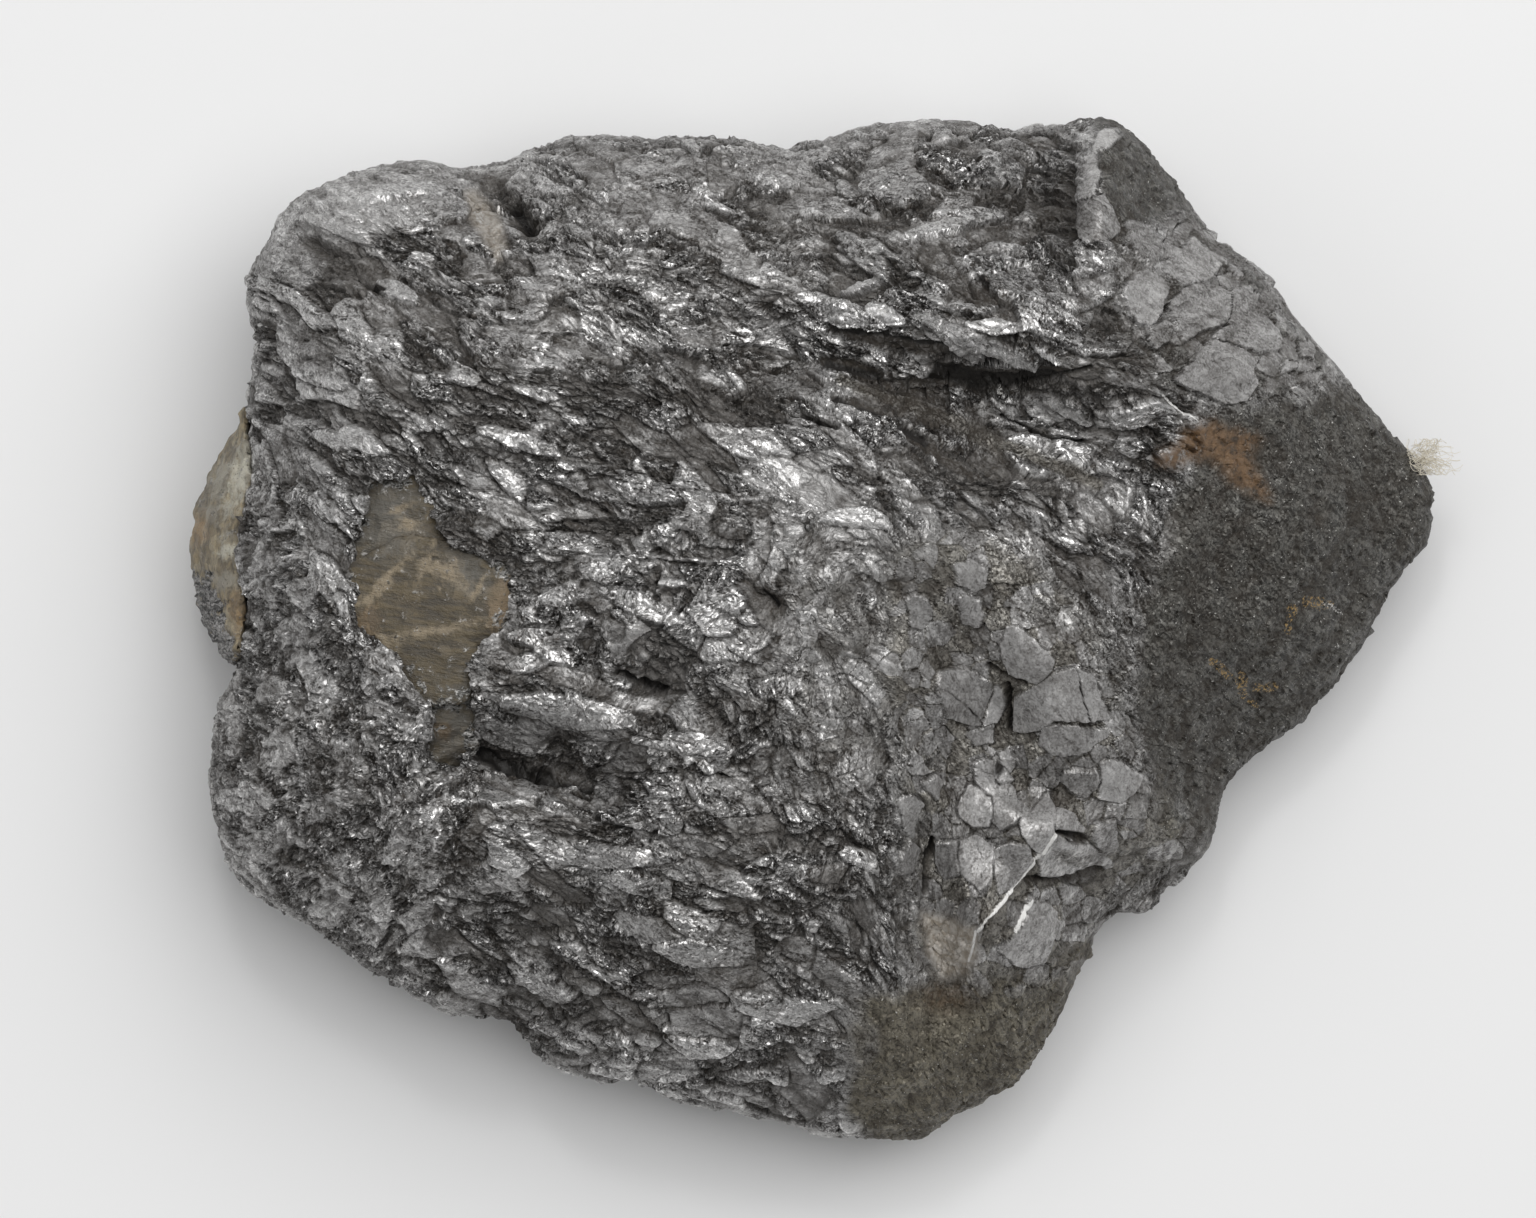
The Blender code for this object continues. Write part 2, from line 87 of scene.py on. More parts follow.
def makeStage():
    shape = bmesh.new()
    bmesh.ops.create_grid(shape, x_segments=1, y_segments=1, size=stage["size"] / 2)
    floor = objectFrom("floor", shape)
    paper, _, shader = newMaterial("palePaper")
    shader.inputs["Base Color"].default_value = (*[stage["colour"]] * 3, 1.0)
    shader.inputs["Roughness"].default_value = stage["roughness"]
    shader.inputs["Specular IOR Level"].default_value = stage["shine"]
    floor.data.materials.append(paper)
    world = bpy.data.worlds.new("paleRoom")
    world.use_nodes = True
    background = world.node_tree.nodes["Background"]
    background.inputs["Color"].default_value = (1.0, 1.0, 1.0, 1.0)
    background.inputs["Strength"].default_value = stage["roomLight"]
    bpy.context.scene.world = world
    bpy.context.scene.view_settings.view_transform = "Standard"
    for name, (place, size, power) in lamps.items():
        light = bpy.data.lights.new(name, "AREA")
        light.shape, light.size, light.energy = "SQUARE", size, power
        obj = bpy.data.objects.new(name, light)
        obj.location = Vector(place) + Vector((*middle * mm, 0.0))
        obj.rotation_euler = Vector(place).to_track_quat("Z", "Y").to_euler()
        obj.visible_camera = False
        bpy.context.scene.collection.objects.link(obj)


# Which way the blades of graphite run, from above: x, y, degrees, and how coarse they are.
bladeRuns = np.array([
    (-48.6, 32.7, -28, 1), (-39.6, 29.7, -25, 0.9), (-51.6, 22.7, -32, 1), (-41.6, 16.7, -35, 1.1),
    (-33.6, 20.7, -22, 0.9), (-29.6, 32.7, -15, 0.8), (-29.6, 42.7, -12, 0.6), (-16.6, 44.7, -6, 0.5),
    (-3.6, 43.7, -10, 0.5), (8.4, 47.7, -4, 0.6), (13.4, 41.7, -8, 1.1), (-16.6, 35.7, -12, 0.7),
    (-19.6, 27.7, -22, 0.7), (-25.6, 15.7, -18, 1), (-11.6, 32.7, -15, 0.7), (-3.6, 32.7, -12, 0.9),
    (3.4, 29.7, -14, 1.5), (13.4, 33.7, -28, 1.7), (22.4, 31.7, -35, 1.6), (18.4, 25.7, -20, 1.8),
    (8.4, 20.7, -28, 1.5), (18.4, 18.7, -22, 1.6), (26.4, 24.7, -10, 1.3), (-5.6, 22.7, -20, 1.2),
    (-11.6, 19.7, -30, 1.3), (-3.6, 14.7, -25, 1), (4.4, 11.7, -20, 0.9), (10.4, 8.7, -45, 0.9),
    (-19.6, 8.7, -8, 1.3), (-21.6, 0.7, -4, 1.3), (-11.6, 2.7, -12, 1.4), (-11.6, -3.3, -35, 1.3),
    (-3.6, 0.7, -30, 1), (3.4, 0.7, -55, 0.8), (5.4, -7.3, -75, 0.8), (8.4, -17.3, -85, 0.9),
    (6.4, -27.3, -80, 0.9), (9.4, -37.3, -80, 0.9), (14.4, -1.3, -60, 1.1), (18.4, 2.7, -50, 1.2),
    (23.4, 7.7, -48, 1.1), (-17.6, -11.3, -15, 1.2), (-11.6, -11.3, -25, 1.2), (-25.6, -9.3, -10, 1.2),
    (-29.6, -13.3, -12, 1), (-3.6, -11.3, -60, 0.8), (-19.6, -22.3, -3, 1.2), (-27.6, -20.3, -20, 1),
    (-7.6, -22.3, -5, 1.1), (-1.6, -22.3, -15, 1), (-27.6, -29.3, -15, 1.3), (-19.6, -30.3, -50, 1.2),
    (-11.6, -30.3, -15, 1), (-5.6, -35.3, -5, 0.9), (-21.6, -37.3, -8, 1.2), (-33.6, -35.3, -10, 1),
    (-11.6, -43.3, -8, 1.1), (0.4, -45.3, -8, 0.9), (-1.6, -29.3, -20, 0.9), (4.4, -39.3, -30, 0.8),
    (43.4, 6.7, -45, 0.8), (28.4, 2.7, -50, 0.8), (19.9, -25.3, 52, 1), (-52, -15, -35, 0.6),
    (-42, -20, -30, 0.6), (-50, 2, -60, 0.8), (-57, 12, -75, 0.8),
])
# Regions seen from above, each an outline in millimetres.
regions = {
    "plateGround": [(29.4, 36.7), (33.4, 40.2), (37.4, 41.2), (46, 46), (58, 38), (60, 28), (47.4, 22.7),
        (41.4, 22.2), (36.4, 21.7), (32.4, 24.7), (29.6, 29.7)],
    "peakFace": [(27.4, 51.7), (28, 60), (40, 56), (46, 46), (37.4, 41.2), (33.4, 40.2), (29.4, 37.7),
        (27.9, 42.7)],
    "granularFace": [(36.5, 14), (37.4, 19.7), (40.4, 21.7), (47.4, 22.7), (60, 28), (76, 24), (80, 10),
        (72, -8), (60, -22), (50, -32), (43, -28), (38, -23.3), (34.4, -22.3), (33.4, -14.3), (30.4, -7.3),
        (30.5, 1.7), (34.5, 8)],
    "brokenGround": [(6.9, 5.7), (13.4, 10.7), (20.4, 9.7), (28.4, -2.3), (32.4, -13.3), (38.4, -22.3),
        (30.4, -27.3), (26.4, -33.3), (18.4, -36.8), (9.4, -34.8), (8.4, -27.3), (8.4, -19.3), (7.4, -12.3),
        (6.4, -5.3)],
    "brownFoot": [(3.4, -36.3), (11.4, -35.8), (18.4, -34.8), (23.4, -33.3), (27.4, -30.3), (34, -36),
        (30.4, -48), (20.4, -58), (9.4, -58), (3.4, -48.3)],
    "flakyCorner": [(-80, 22), (-60, 21), (-53, 14), (-50, 4), (-46.6, -2.3), (-37.6, -7.3), (-34.6, -13.3),
        (-33.6, -20.3), (-38.6, -27.3), (-41.6, -37.3), (-56, -50), (-70, -40), (-76, -20)],
    "crumpled": [(-30, 5), (-20, 8), (-8, 12), (2, 10), (9, 5), (10, -8), (8, -26), (0, -30), (-8, -20),
        (-16, -14), (-30, -8)],
    "mosaic": [(-6, 3), (-2, 9), (6, 6), (9.5, 1), (9, -8), (7, -16), (4, -20), (-2, -14), (-5, -6)],
    "knob": [(-58, 36.4), (-57, 43), (-50, 50), (-42, 53), (-36, 49), (-35.4, 44), (-36, 41.4), (-39, 39.6),
        (-43.6, 39), (-47, 37), (-50.6, 34.6)],
    "sheen": [(-8, 17.6), (-1, 15.6), (4.6, 13), (9, 9.4), (10.6, 5), (5.2, 3), (2.4, -3), (-0.6, -6.4),
        (-2.6, 2), (-4.4, 8)],
    "rust": [(33.6, 16.7), (35.2, 17.5), (36.3, 19.3), (37.9, 20.1), (39.8, 20.4), (41.4, 19.6), (43.6, 19.6),
        (44.4, 18.9), (43.2, 17.5), (43.6, 15.6), (44.9, 13.2), (44.9, 12.4), (43.6, 13.2), (41.4, 14.5),
        (40.3, 16.1), (39.5, 16.8), (37.7, 16.4), (35.2, 15.3), (34.2, 15.6)],
    "quartz": [(10.6, -28.6), (12.7, -28.8), (15.9, -29.9), (16.1, -32.6), (15.3, -34.6), (12.1, -35),
        (11.2, -32.8)],
    "quartzSliver": [(-34.5, 43.2), (-33.2, 43.4), (-31.6, 41), (-30.8, 37.5), (-31.6, 36.3), (-33, 38.5),
        (-34.3, 41)],
    "feldspar": [(-45.4, 2.4), (-44.4, 9.6), (-43.2, 13.4), (-39.4, 13.6), (-38.2, 8.2), (-35.7, 7.8),
        (-30.5, 4.5), (-31.5, 1.6), (-32.9, -1.2), (-33.6, -5), (-34.6, -12.6), (-37.6, -13.4), (-38.2, -6.4),
        (-44.7, -1)],
}
# Painted highlights along thin bright ridges, and small coloured specks: both ends, then the width.
ridgeHighlights = [(23.8, -20.4, 15.9, -30.4, 0.38), (21.4, -27.2, 19.7, -30.2, 0.28), (15.6, -30.4, 15.2, -33.2, 0.3),
         (34.4, 22.8, 37.6, 20.4, 0.2)]
yellowSpecks = [(47.4, 2, 47.2, -0.4, 0.9), (48.9, 2.6, 51, 2.2, 1), (39.6, -3.6, 41, -4.6, 1),
                (42.2, -5, 42.8, -6.8, 1), (44.2, -6.3, 45.7, -6.1, 0.9), (43.4, -7.6, 43.8, -8, 0.8)]
# white specks, some of them painted glints on the blades
whiteSpecksAndGlints = [(50.8, 2.4, 52.7, 1.3, 0.4), (52.2, -2, 52.3, -2.2, 0.5), (-33.4, 41.8, -33, 40.6, 0.5),
               (18.1, 23.1, 18.4, 22.9, 0.5), (6.4, 31.4, 6.8, 31.2, 0.5)]
rustTinge = (13, -37, 2.6, 1.6, 0)  # a faint stain: place, reach along and across, degrees
# Smooth plates: how light each one is, how much it leans towards the light, and its outline.
plates = [
    (0.74, 0.3, [(25.6, 48), (27.2, 50.2), (29, 51.8), (30.8, 52), (31.6, 50.8), (30.2, 48.9), (28.6, 47.4),
        (26.8, 47.3)]),
    (0.66, 0.3, [(25.5, 47.2), (27.4, 47.2), (27.7, 44.6), (27, 42), (26.2, 42.4), (25.6, 44.8)]),
    (0.62, 0, [(34.3, 38.1), (36.2, 37.5), (37.6, 38.8), (39.3, 37.9), (40.2, 36.5), (38.7, 34.6),
        (36.2, 33.9), (34.4, 35.3), (35.1, 36.6)]),
    (0.56, 0, [(38.5, 39.7), (40.3, 38.3), (41.7, 38.1), (42.9, 36.6), (42.5, 35), (41.4, 35.3), (40.4, 36.8),
        (39.1, 38.1)]),
    (0.66, 0.5, [(32.9, 35.4), (33.9, 35), (34.7, 33.4), (34.3, 31.8), (32.8, 29.8), (31.7, 29.9), (31, 31.2),
        (30.6, 32.8), (31, 34)]),
    (0.58, 0, [(36.3, 33.2), (37.9, 33.7), (40, 33.5), (41, 32.7), (41.2, 31.1), (40.3, 30.1), (38.8, 29.7),
        (36.6, 28.7), (35.7, 30), (35.1, 31.2), (35.5, 32.4)]),
    (0.48, 0, [(41.3, 33.4), (43.2, 33.4), (43.5, 31.6), (44.2, 31), (45.8, 29.4), (46, 28), (44.2, 27.4),
        (40.2, 28.1), (39.4, 28.8), (41.1, 30)]),
    (0.56, 0.1, [(39, 28.2), (40.8, 28), (43.4, 26.6), (43.6, 24.4), (42.6, 22.6), (40.2, 22.4), (38, 23.4),
        (35.6, 24.4), (37, 26), (38, 27.2)]),
    (0.42, 0, [(34.5, 30.4), (35, 29.6), (34.8, 28.6), (33.7, 27.8), (33.1, 28.6), (33.1, 29.5)]),
    (0.42, 0, [(46.1, 31.8), (47.5, 32), (48.2, 30.8), (47.9, 29), (46.7, 29.8), (45.8, 30.6)]),
    (0.4, 0, [(25.8, 40.6), (26.8, 42.2), (28.2, 42.4), (29.3, 41), (29.8, 39.6), (29.2, 38.6), (27.6, 38.4),
        (26.2, 38.6)]),
    (0.34, 0, [(30.5, 39.7), (31.3, 40.1), (32.7, 39.5), (33.9, 38.7), (34.3, 37.5), (33.3, 36.3),
        (31.9, 36.9), (30.9, 38.1)]),
    (0.45, 0, [(8.9, 2.7), (10, 3), (11, 2.6), (11.1, 1), (10.6, 0.1), (9.2, 0.3)]),
    (0.48, 0, [(13.9, 6.2), (15.4, 6.6), (16.7, 5.8), (16.5, 4.1), (15.2, 3.8), (14, 4.4)]),
    (0.46, 0, [(14.3, 2.7), (16, 2.7), (16.4, 1.4), (16, 0.4), (14.6, 0.5), (14, 1.6)]),
    (0.52, 0.1, [(18.7, -0.4), (20.4, -0.3), (23.2, -3.3), (23.1, -4.1), (21.8, -5.3), (19.4, -4.5),
        (18.4, -2.8)]),
    (0.5, 0.1, [(19.7, -6.9), (21.1, -6.4), (23.5, -4.7), (25.4, -4.4), (27, -9.3), (23.3, -9.2), (22, -10.2),
        (20, -10.2)]),
    (0.54, 0.1, [(25.7, -4.4), (27.1, -4.7), (29.1, -9.2), (27.6, -9), (27.3, -9.3)]),
    (0.42, 0, [(22.5, -9.9), (24.6, -10), (28.9, -10.4), (27.6, -11.5), (26, -12.4), (24.3, -12.7),
        (22.3, -11.7)]),
    (0.46, 0, [(12.4, -4.6), (15, -4.2), (17.3, -5.6), (16, -8.9), (14, -7.1), (12.2, -6.1)]),
    (0.4, 0, [(12.2, -6.4), (13.8, -7.1), (15.7, -8.6), (16, -9.4), (14.3, -9.2), (13, -8.9)]),
    (0.72, 0.5, [(17.8, -5.9), (18.5, -7.7), (18, -9.5), (16.5, -9.5)]),
    (0.44, 0, [(15, -10.5), (16.3, -10), (17.7, -9.9), (17.5, -11.5), (15.7, -11.5)]),
    (0.48, 0, [(16, -13.7), (17.7, -13.2), (19.3, -15.2), (18.7, -17.2), (17, -16)]),
    (0.56, 0.2, [(14.1, -18), (15.1, -15.7), (16.2, -16), (17.2, -16.9), (17.7, -18.7), (17.2, -19.5),
        (15.5, -19.5), (14.4, -18.9)]),
    (0.52, 0.1, [(15.9, -14.1), (17.9, -13.3), (19, -15.4), (19.8, -16.9), (21.6, -18.7), (20.3, -19.3),
        (18.5, -20), (17.7, -18.9), (17.5, -16.9), (16.2, -15.4)]),
    (0.56, 0.2, [(20.3, -19.3), (22, -18), (22.9, -16.7), (23.8, -18.2), (23.5, -20.6), (22.5, -22.1),
        (21.4, -21.7), (20.5, -20.4)]),
    (0.46, 0, [(23.8, -17.8), (25.3, -18.5), (25.5, -19.8), (23.8, -20)]),
    (0.66, 0.3, [(28.5, -13.7), (30.3, -13.5), (32.4, -14.8), (31.6, -16.3), (30, -17.4), (28.1, -16.9),
        (28.3, -15.4)]),
    (0.36, 0, [(24.6, -14.6), (27.7, -14.3), (28.3, -15.4), (26.6, -16.7), (25.1, -16.3), (24.4, -15.4)]),
    (0.46, 0, [(14.3, -21.5), (15.7, -20.8), (17.5, -21.7), (17.7, -24.3), (16.2, -26), (14.6, -24.3),
        (14.4, -22.6)]),
    (0.44, 0, [(17.8, -22.1), (19.4, -21.5), (21.2, -21.9), (21.4, -23.4), (19.4, -25.4), (18.1, -26.3),
        (17.7, -24.3)]),
    (0.36, 0, [(12, -21.7), (13.8, -21.5), (14.3, -24.5), (12.7, -24.7), (12, -23.4)]),
    (0.6, 0.4, [(22, -23.4), (23.8, -20.8), (25.5, -21.7), (27.2, -21.7), (28.3, -23), (26.8, -24.3),
        (24.2, -24.9), (22, -24.7)]),
    (0.46, 0.1, [(21.4, -27.1), (22.9, -27.4), (24, -28.7), (23.8, -30.8), (22.5, -33.4), (20.3, -33.9),
        (18.5, -32.1), (19.8, -30.4), (21.1, -28.7)]),
    (0.38, 0, [(28.1, -19.5), (29.8, -19.3), (30, -22.1), (28.5, -23), (27.9, -21.1)]),
    (0.5, 0, [(8, -17.4), (9.4, -16.7), (10.3, -17.8), (9.2, -20.6)]),
    (0.45, 0, [(8.4, -23), (9.2, -21.5), (10, -22.1), (9.7, -24.3), (8.6, -24.3)]),
    (0.55, 0.1, [(10.6, -15.6), (11.7, -14.8), (12.3, -15.6), (11.6, -17)]),
    (0.55, 0.1, [(18.2, -12.6), (19.2, -12), (19.6, -13.7), (19, -14.3), (18.4, -13.7)]),
]
# Leaf-shaped blades that lie smooth on the rest: both ends, width, how light, how far towards the light; the
# darkest carry painted shade and the lightest painted highlights.
leaves = [
    (1.7, 29.5, 13.4, 26.8, 1.7, 0.02, 0), (0.6, 26.6, 6.4, 25.2, 1.5, 0, 0),
    (9.8, 24.4, 16.5, 24.6, 2.2, 0.02, 0), (14.4, 24.4, 25, 24.8, 2, 0.06, 0),
    (1.6, 22.7, 7, 21.4, 1.2, 0, 0), (7.6, 20, 15.2, 15.6, 1.5, 0.06, 0),
    (10.1, 30.6, 21.5, 25.6, 1.9, 0.5, 0.3), (9.1, 38.9, 15.4, 40.2, 1.6, 0.7, 0.5),
    (11.7, 41, 14.1, 41.2, 0.8, 0.85, 0.8), (8.9, 34.9, 10.7, 34.9, 0.9, 0.8, 0.7),
    (2.4, 33.3, 6.4, 34.7, 1.2, 0.7, 0.6), (1.4, 30.8, 5, 30.3, 1.8, 0.6, 0.4),
    (5.4, 31.7, 8.5, 30.3, 1.9, 0.95, 1), (14.9, 36.1, 21.4, 32.3, 2.1, 0.55, 0.3),
    (21.2, 32.7, 25.9, 29.5, 1.2, 0.95, 1), (18.2, 36.3, 21.8, 36.1, 0.5, 0.8, 0.7),
    (18.6, 35.5, 21.4, 33.3, 0.5, 0.8, 0.7), (23.2, 38.6, 26.3, 37, 1.4, 0.7, 0.6),
    (15, 29.9, 20.2, 29.5, 2, 0.88, 0.8), (20.2, 29.3, 25.5, 28.7, 1, 0.72, 0.5),
    (11.1, 30.7, 16.2, 26, 2.2, 0.52, 0.3), (16.2, 27.4, 21.4, 25.2, 1.4, 0.7, 0.6),
    (21.4, 27.6, 24.1, 26, 1, 0.85, 0.8), (5.6, 27.4, 7.1, 26.2, 1.1, 0.75, 0.6),
    (8.3, 25.8, 12.5, 24.5, 1.2, 0.6, 0.4), (23.3, 22, 26.9, 19.9, 1.4, 0.85, 0.9),
    (14.3, 31.1, 17.8, 31.7, 1, 0.5, 0.2), (5, 43.8, 10.5, 43.2, 3, 0.48, 0.1),
    (2.4, 38.6, 6.4, 35, 2.2, 0.5, 0.1), (-25.6, 7.6, -7.2, 6.4, 0.6, 0.72, 0.6),
    (-15.6, 4.6, -13.1, 4.4, 1.1, 0.9, 0.8), (-21, 3.6, -14.2, 1, 2.6, 0.46, 0.1),
    (-26.8, 3.4, -22.6, 3, 1.4, 0.5, 0.2), (-30, -0.8, -24.5, -1.4, 2.4, 0.42, 0),
    (-30.4, -7.6, -18.6, -9, 3.2, 0.6, 0.3), (-14.8, -10.8, -9.3, -12.2, 2.4, 0.55, 0.2),
    (-25.6, -22.4, -16.6, -22.8, 2.4, 0.55, 0.3), (-49.6, 19.2, -46, 18, 1.8, 0.58, 0.3),
    (-33.2, 19.6, -25.4, 17.2, 1.8, 0.58, 0.3), (-36.5, 26.5, -32.9, 24.7, 0.5, 0.85, 0.9),
    (-29.8, 23.6, -26.7, 22.5, 1, 0.9, 1), (-43.4, 34.2, -39.9, 32.6, 2.2, 0.8, 0.7),
    (-50, 42.4, -38, 44, 2, 0.62, 0.5), (23.8, -20.6, 21.4, -23.4, 0.6, 0.95, 1),
    (21.4, -23.4, 15.9, -30.4, 0.5, 0.9, 1), (21.5, -27, 19.6, -30.2, 0.4, 0.9, 1),
    (-8.6, -2, -5.6, -3.4, 1, 0.6, 0.5), (-10.2, -4.9, -7, -6.4, 1, 0.6, 0.5),
]
# Hollows: both ends, width and depth.
pits = [
    (25.2, 45.4, 25.4, 38.6, 1.2, 1.5), (22, 42.4, 24.4, 40.8, 2.4, 0.8), (3, 45.6, 4.6, 44.2, 1.6, 0.8),
    (12.8, 38, 15.8, 33.3, 0.5, 0.7), (15.8, 33.3, 19, 32.1, 0.5, 0.7), (9.8, 33.6, 15, 32.6, 1, 0.6),
    (3, 26.4, 8.6, 24, 1.2, 0.9), (9.6, 25.2, 19.6, 23.6, 1.4, 0.9), (-32.1, 43.8, -28.4, 39.4, 1.8, 1.2),
    (-39.6, 27.2, -36.5, 25.4, 1.4, 0.9), (-5.6, 4.1, -3.6, 2, 1.9, 0.7),
    (-33.6, -12.6, -25.1, -14.9, 1.4, 1.3), (-25.6, -12.3, -22.6, -15.3, 1.8, 0.9),
    (-20.3, -4.3, -15.6, -6.7, 0.9, 1), (21.6, -25.2, 25.9, -25, 0.7, 1), (25.9, -25, 28.3, -24.5, 0.6, 0.9),
    (26.3, -21.1, 26.9, -21.3, 0.8, 0.8), (23.8, -20, 25.5, -20.6, 0.4, 0.5),
    (11.2, -21, 10.9, -26.1, 0.6, 0.7), (-32.6, -30.3, -27.6, -38.3, 0.8, 0.8),
    (16.8, -3.9, 20.6, -5.7, 0.5, 0.7), (18.8, -5.9, 19.3, -10.5, 0.5, 0.7), (-50.4, 37.8, -43, 33.9, 1.6, 1),
    (29.6, 38.4, 31, 36, 0.6, 0.6), (31.2, 28.8, 33, 27.2, 0.7, 0.7), (34.8, 22.6, 40, 19.4, 0.3, 0.4),
]
# Narrow crevices, sunk and painted near black as shade, and lines of brown dust: both ends and the width.
crevices = [
    (1.9, 29.4, 7, 28.8, 0.9), (7, 28.8, 12.4, 27.4, 0.7), (0.8, 26.4, 6.2, 25.2, 0.9),
    (11.6, 24.8, 16.6, 23.6, 1.7), (16.6, 23.6, 23, 24.2, 1.5), (1.9, 22.6, 6.5, 21.2, 1.2),
    (6.5, 21.2, 11, 18.4, 0.8), (18.4, 20.8, 23.5, 18.6, 0.35), (23.5, 18.6, 26.4, 18.4, 0.3),
    (23, 24.2, 27, 25.4, 0.6), (-1.4, 21, 1.9, 19.8, 0.7), (-33.6, -12.8, -26, -14.6, 1.1),
    (-26, -14.6, -22.4, -16, 0.6), (-5.4, 3.8, -4, 2.2, 0.4), (-20, -4.4, -15.8, -6.5, 0.6),
    (24.2, -20.3, 26.6, -20.8, 0.7), (21.8, -25.1, 28.4, -24.5, 0.6), (11.2, -21.2, 10.9, -26.4, 0.5),
    (25.2, 44.6, 25.4, 39, 0.9), (17, -3.9, 20.8, -5.8, 0.4), (18.9, -5.9, 19.4, -10.4, 0.45),
    (-46, 35.2, -43, 33.6, 0.6), (-30.6, 42.4, -29, 39.8, 0.9),
]
dustLines = [(2.2, 24.8, 8.6, 22.4, 1.3), (8.6, 22.4, 18, 18, 2), (18, 18, 27.6, 14, 1.5)]
# Broad changes of tone, partly real and partly painted light: painted sheen on the shoulder and rims that
# catch the light, painted shade in the cleft, pockets and crevices. Place, reach along and across, degrees,
# how much lighter.
toneSheenAndShadeSpots = [
    (-44, 41.7, 7, 2.4, 5, 0.22), (11.4, 27, 12, 3, -30, 0.05), (-6, 20, 6, 3, -20, 0.08),
    (-2, 15.5, 6, 2.4, -35, 0.26), (5, 10.5, 7.5, 3.2, -35, 0.34), (6, 0, 7, 2.4, -85, 0.2),
    (7, -12, 8, 2.2, -85, 0.12), (32.2, 10.8, 4, 2.2, -20, 0.35), (26.5, 12, 3, 5, -60, 0.15),
    (9, 22.5, 9, 1.8, -28, -0.35), (23.5, 42, 2.6, 3.4, -80, -0.35), (-34, 26.4, 4, 2, -30, -0.2),
    (-29.5, -14, 6, 1.8, -12, -0.35), (-46.6, 35.8, 4.2, 1.2, -28, -0.3), (-30.2, 41.5, 2, 2.6, -50, -0.35),
    (-4.4, 3.3, 2, 1.3, 0, -0.35), (-7.5, -3.2, 2.8, 2.6, -40, -0.25), (-20, -33, 3, 2, 50, 0.15),
    (-57, 5, 3, 9, 0, -0.1), (-1.5, 8, 4, 6.5, 15, 0.32), (1.5, -4, 3, 5, 0, 0.32),
    (-14, -1.5, 5.5, 3.5, -20, 0.38), (-40, 20.5, 13, 3.2, -5, 0.24), (-30, 14.5, 5, 2.4, 0, 0.18),
    (15.2, 27, 3.5, 1.8, -30, 0.4), (24, 30.5, 2.6, 3.4, 0, -0.3), (17, 34.5, 4.5, 2, -25, -0.25),
    (-14, 33.5, 5, 2.6, -10, -0.18), (-7, 28.5, 3, 2, 0, -0.15), (-36, 41.5, 3.5, 2, 0, -0.2),
    (5.5, -16, 2, 6.5, 0, 0.24), (-3, -20, 5, 2.6, 0, 0.18), (0, -47, 7, 3, 0, 0.18),
    (15, -38.5, 3, 2, 0, 0.22), (-16, 17, 6, 3, -10, 0.14), (-52, 1, 4, 4, 0, 0.16), (4, 34, 2.4, 3, 0, 0.3),
    (-47, 40, 3.4, 2.6, 0, 0.22), (-34, -21.5, 3, 2, 0, -0.22), (-25, 27, 5, 2.6, -20, -0.1),
    (11.5, 11.5, 3, 4, 0, 0.26), (-24, 42.5, 3, 2, 0, 0.2), (-46.5, 38.8, 3.6, 2.2, 20, 0.3),
    (-33, 39.5, 2.2, 3.2, 0, -0.25), (-32, 21.5, 4, 2.6, -10, 0.16), (-15.5, -3.5, 3.4, 2.8, 0, 0.25),
    (3, -48.5, 7, 2.4, 0, 0.28), (22.5, 33, 2.6, 2.6, 0, -0.18), (13, 42.7, 4, 1.6, 0, -0.22),
    (1.5, 42.5, 2.4, 1.5, 0, -0.24), (-6, 43.5, 2.2, 1.6, 0, 0.26), (-55, 14, 2.4, 3, 0, -0.25),
    (-40, 15, 4, 2.2, -10, 0.24), (-10, 6.5, 2.2, 2, 0, 0.26), (-18, 10.8, 2.6, 2, 0, 0.22),
    (-38, -21, 2.2, 2, 0, -0.25), (-26, -37, 2.4, 1.8, 0, -0.18), (-12.5, -29.5, 3, 1.8, -10, -0.16),
    (15.5, 22.6, 5, 1.6, -8, -0.3), (-50, 27, 2.6, 2.4, 0, -0.16), (24.5, 21.5, 2.2, 2.4, 0, 0.2),
    (-26, -29, 2.4, 2, 0, 0.18), (38, 32, 8, 8, 0, -0.15), (14, 34, 10, 5, -10, -0.2),
    (-36, 25, 14, 9, -20, 0.03), (-12, 0, 11, 8, 0, 0.03), (13, -41, 11, 6, 0, 0.32),
    (-50, -17, 12, 9, 0, -0.09),
]


def nearestOn(places, start, end):
    # the nearest point of a straight line to each place, and how far along the line it is, from 0 to 1
    start, along = np.array(start), np.array(end) - start
    share = np.clip((places - start) @ along / (along @ along), 0.0, 1.0)
    return start + np.outer(share, along), share


def insideBy(points, outline):
    # millimetres inside the outline, below zero outside it
    corners = np.array(outline, float)
    nearest = np.full(len(points), 1e9)
    inside = np.zeros(len(points), bool)
    for start, end in zip(corners, np.roll(corners, -1, axis=0)):
        nearest = np.minimum(nearest, np.hypot(*(points - nearestOn(points, start, end)[0]).T))
        crosses = (start[1] > points[:, 1]) != (end[1] > points[:, 1])
        slant = (end[0] - start[0]) / (end[1] - start[1] + 1e-12)
        inside ^= crosses & (points[:, 0] < start[0] + (points[:, 1] - start[1]) * slant)
    return np.where(inside, nearest, -nearest)


def smoothStep(low, high, value):
    share = np.clip((value - low) / (high - low), 0.0, 1.0)
    return share * share * (3.0 - 2.0 * share)


def mask(points, name, soft=1.5):
    return smoothStep(-soft, soft, insideBy(points, regions[name]))


def runAt(points):
    # degrees and coarseness of the blades at each place, from the nearest rows of bladeRuns
    away = np.hypot(points[:, :1] - bladeRuns[:, 0], points[:, 1:2] - bladeRuns[:, 1])
    weight = 1.0 / (away**2 + 4.0) ** 2
    double = np.radians(2.0 * bladeRuns[:, 2])
    turn = 0.5 * np.arctan2(weight @ np.sin(double), weight @ np.cos(double))
    return np.degrees(turn), weight @ bladeRuns[:, 3] / weight.sum(axis=1)


